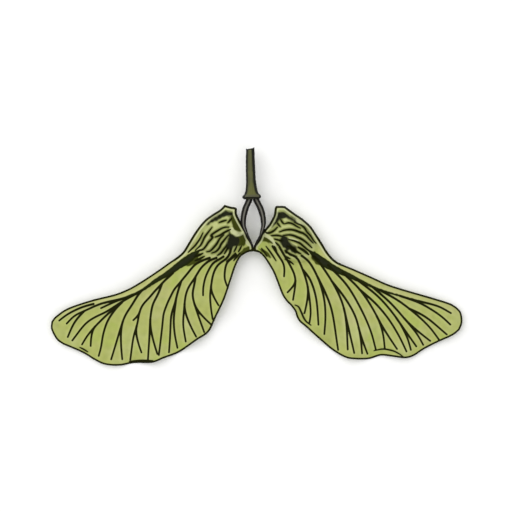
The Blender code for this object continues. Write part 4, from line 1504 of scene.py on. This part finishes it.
@dataclass
class Studio:
    """Plain pale floor, soft light and a camera that looks straight down."""

    view_width: float = 102.4
    view_centre: Point = (-0.12, 0.22)
    view_height: float = 2.5
    lens: float = 120.0
    sensor: float = 36.0
    nearest_view: float = 0.01
    floor_size: float = 3.0
    sky: float = 0.72
    lamps: tuple[Lamp, ...] = (
        Lamp("key", (-0.45, 0.38, 0.55), 0.95, 3.9),
        Lamp("fill", (0.5, -0.3, 0.6), 0.9, 1.3),
    )

    def build(self) -> None:
        """Build the floor, the lamps, the sky and the camera."""
        self.add_floor()
        for lamp in self.lamps:
            self.add_lamp(lamp)
        self.set_sky()
        self.add_camera()

    def add_floor(self) -> None:
        """Lay the paper that the samara rests on."""
        deselect_all()
        bpy.ops.mesh.primitive_plane_add(size=self.floor_size)
        floor = bpy.context.object
        floor.name = "floor"
        floor.data.materials.append(PaperSheet().make())

    def add_lamp(self, lamp: Lamp) -> None:
        """Hang one lamp that points at the samara.

        Args:
            lamp: Its place, size and power.
        """
        light = bpy.data.lights.new(lamp.name, "AREA")
        light.size = lamp.size
        light.energy = lamp.power
        item = bpy.data.objects.new(lamp.name, light)
        item.location = lamp.place
        away = np.array(lamp.place)
        item.rotation_euler = (math.acos(away[2] / np.linalg.norm(away)), 0.0, math.atan2(away[0], -away[1]))
        bpy.context.scene.collection.objects.link(item)

    def set_sky(self) -> None:
        """Fill the room with even white light and show colours as they are."""
        world = bpy.data.worlds.new("soft_room")
        world.use_nodes = True
        background = world.node_tree.nodes["Background"]
        background.inputs["Color"].default_value = (1.0, 1.0, 1.0, 1.0)
        background.inputs["Strength"].default_value = self.sky
        bpy.context.scene.world = world
        bpy.context.scene.view_settings.view_transform = "Standard"

    def add_camera(self) -> None:
        """Look straight down, at the photograph's scale and framing."""
        camera = bpy.data.cameras.new("camera")
        camera.lens = self.lens
        camera.sensor_width = self.sensor
        camera.clip_start = self.nearest_view
        distance = self.lens / self.sensor * self.view_width
        item = bpy.data.objects.new("camera", camera)
        item.location = (self.view_centre[0] * MM, self.view_centre[1] * MM,
                         (distance + self.view_height) * MM)
        bpy.context.scene.collection.objects.link(item)
        bpy.context.scene.camera = item


def plan_shift() -> np.ndarray:
    """Find how far the plans are moved so that the left one lies on its CAD node.

    Returns:
        The move in millimetres.
    """
    low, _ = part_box("samara_left")
    sides = (LEFT_PLAN.leading, LEFT_PLAN.tip, LEFT_PLAN.trailing)
    outline = np.vstack([smooth_line(side, BOX_STEP) for side in sides])
    return np.array([low.x, low.y]) / MM - outline.min(axis=0)


def main() -> None:
    """Build every piece and the studio."""
    logging.basicConfig(level=logging.INFO, format="%(name)s: %(message)s")
    shift = plan_shift()
    skin = SamaraSkin().make()
    WingedNutlet("samara_left", LEFT_PLAN, shift, skin).build()
    WingedNutlet("samara_right", RIGHT_PLAN, shift, skin).build()
    Stalk(shift, StalkBark().make()).build()
    Fork(shift, DriedStrand().make()).build()
    Studio().build()


if __name__ == "__main__":
    main()
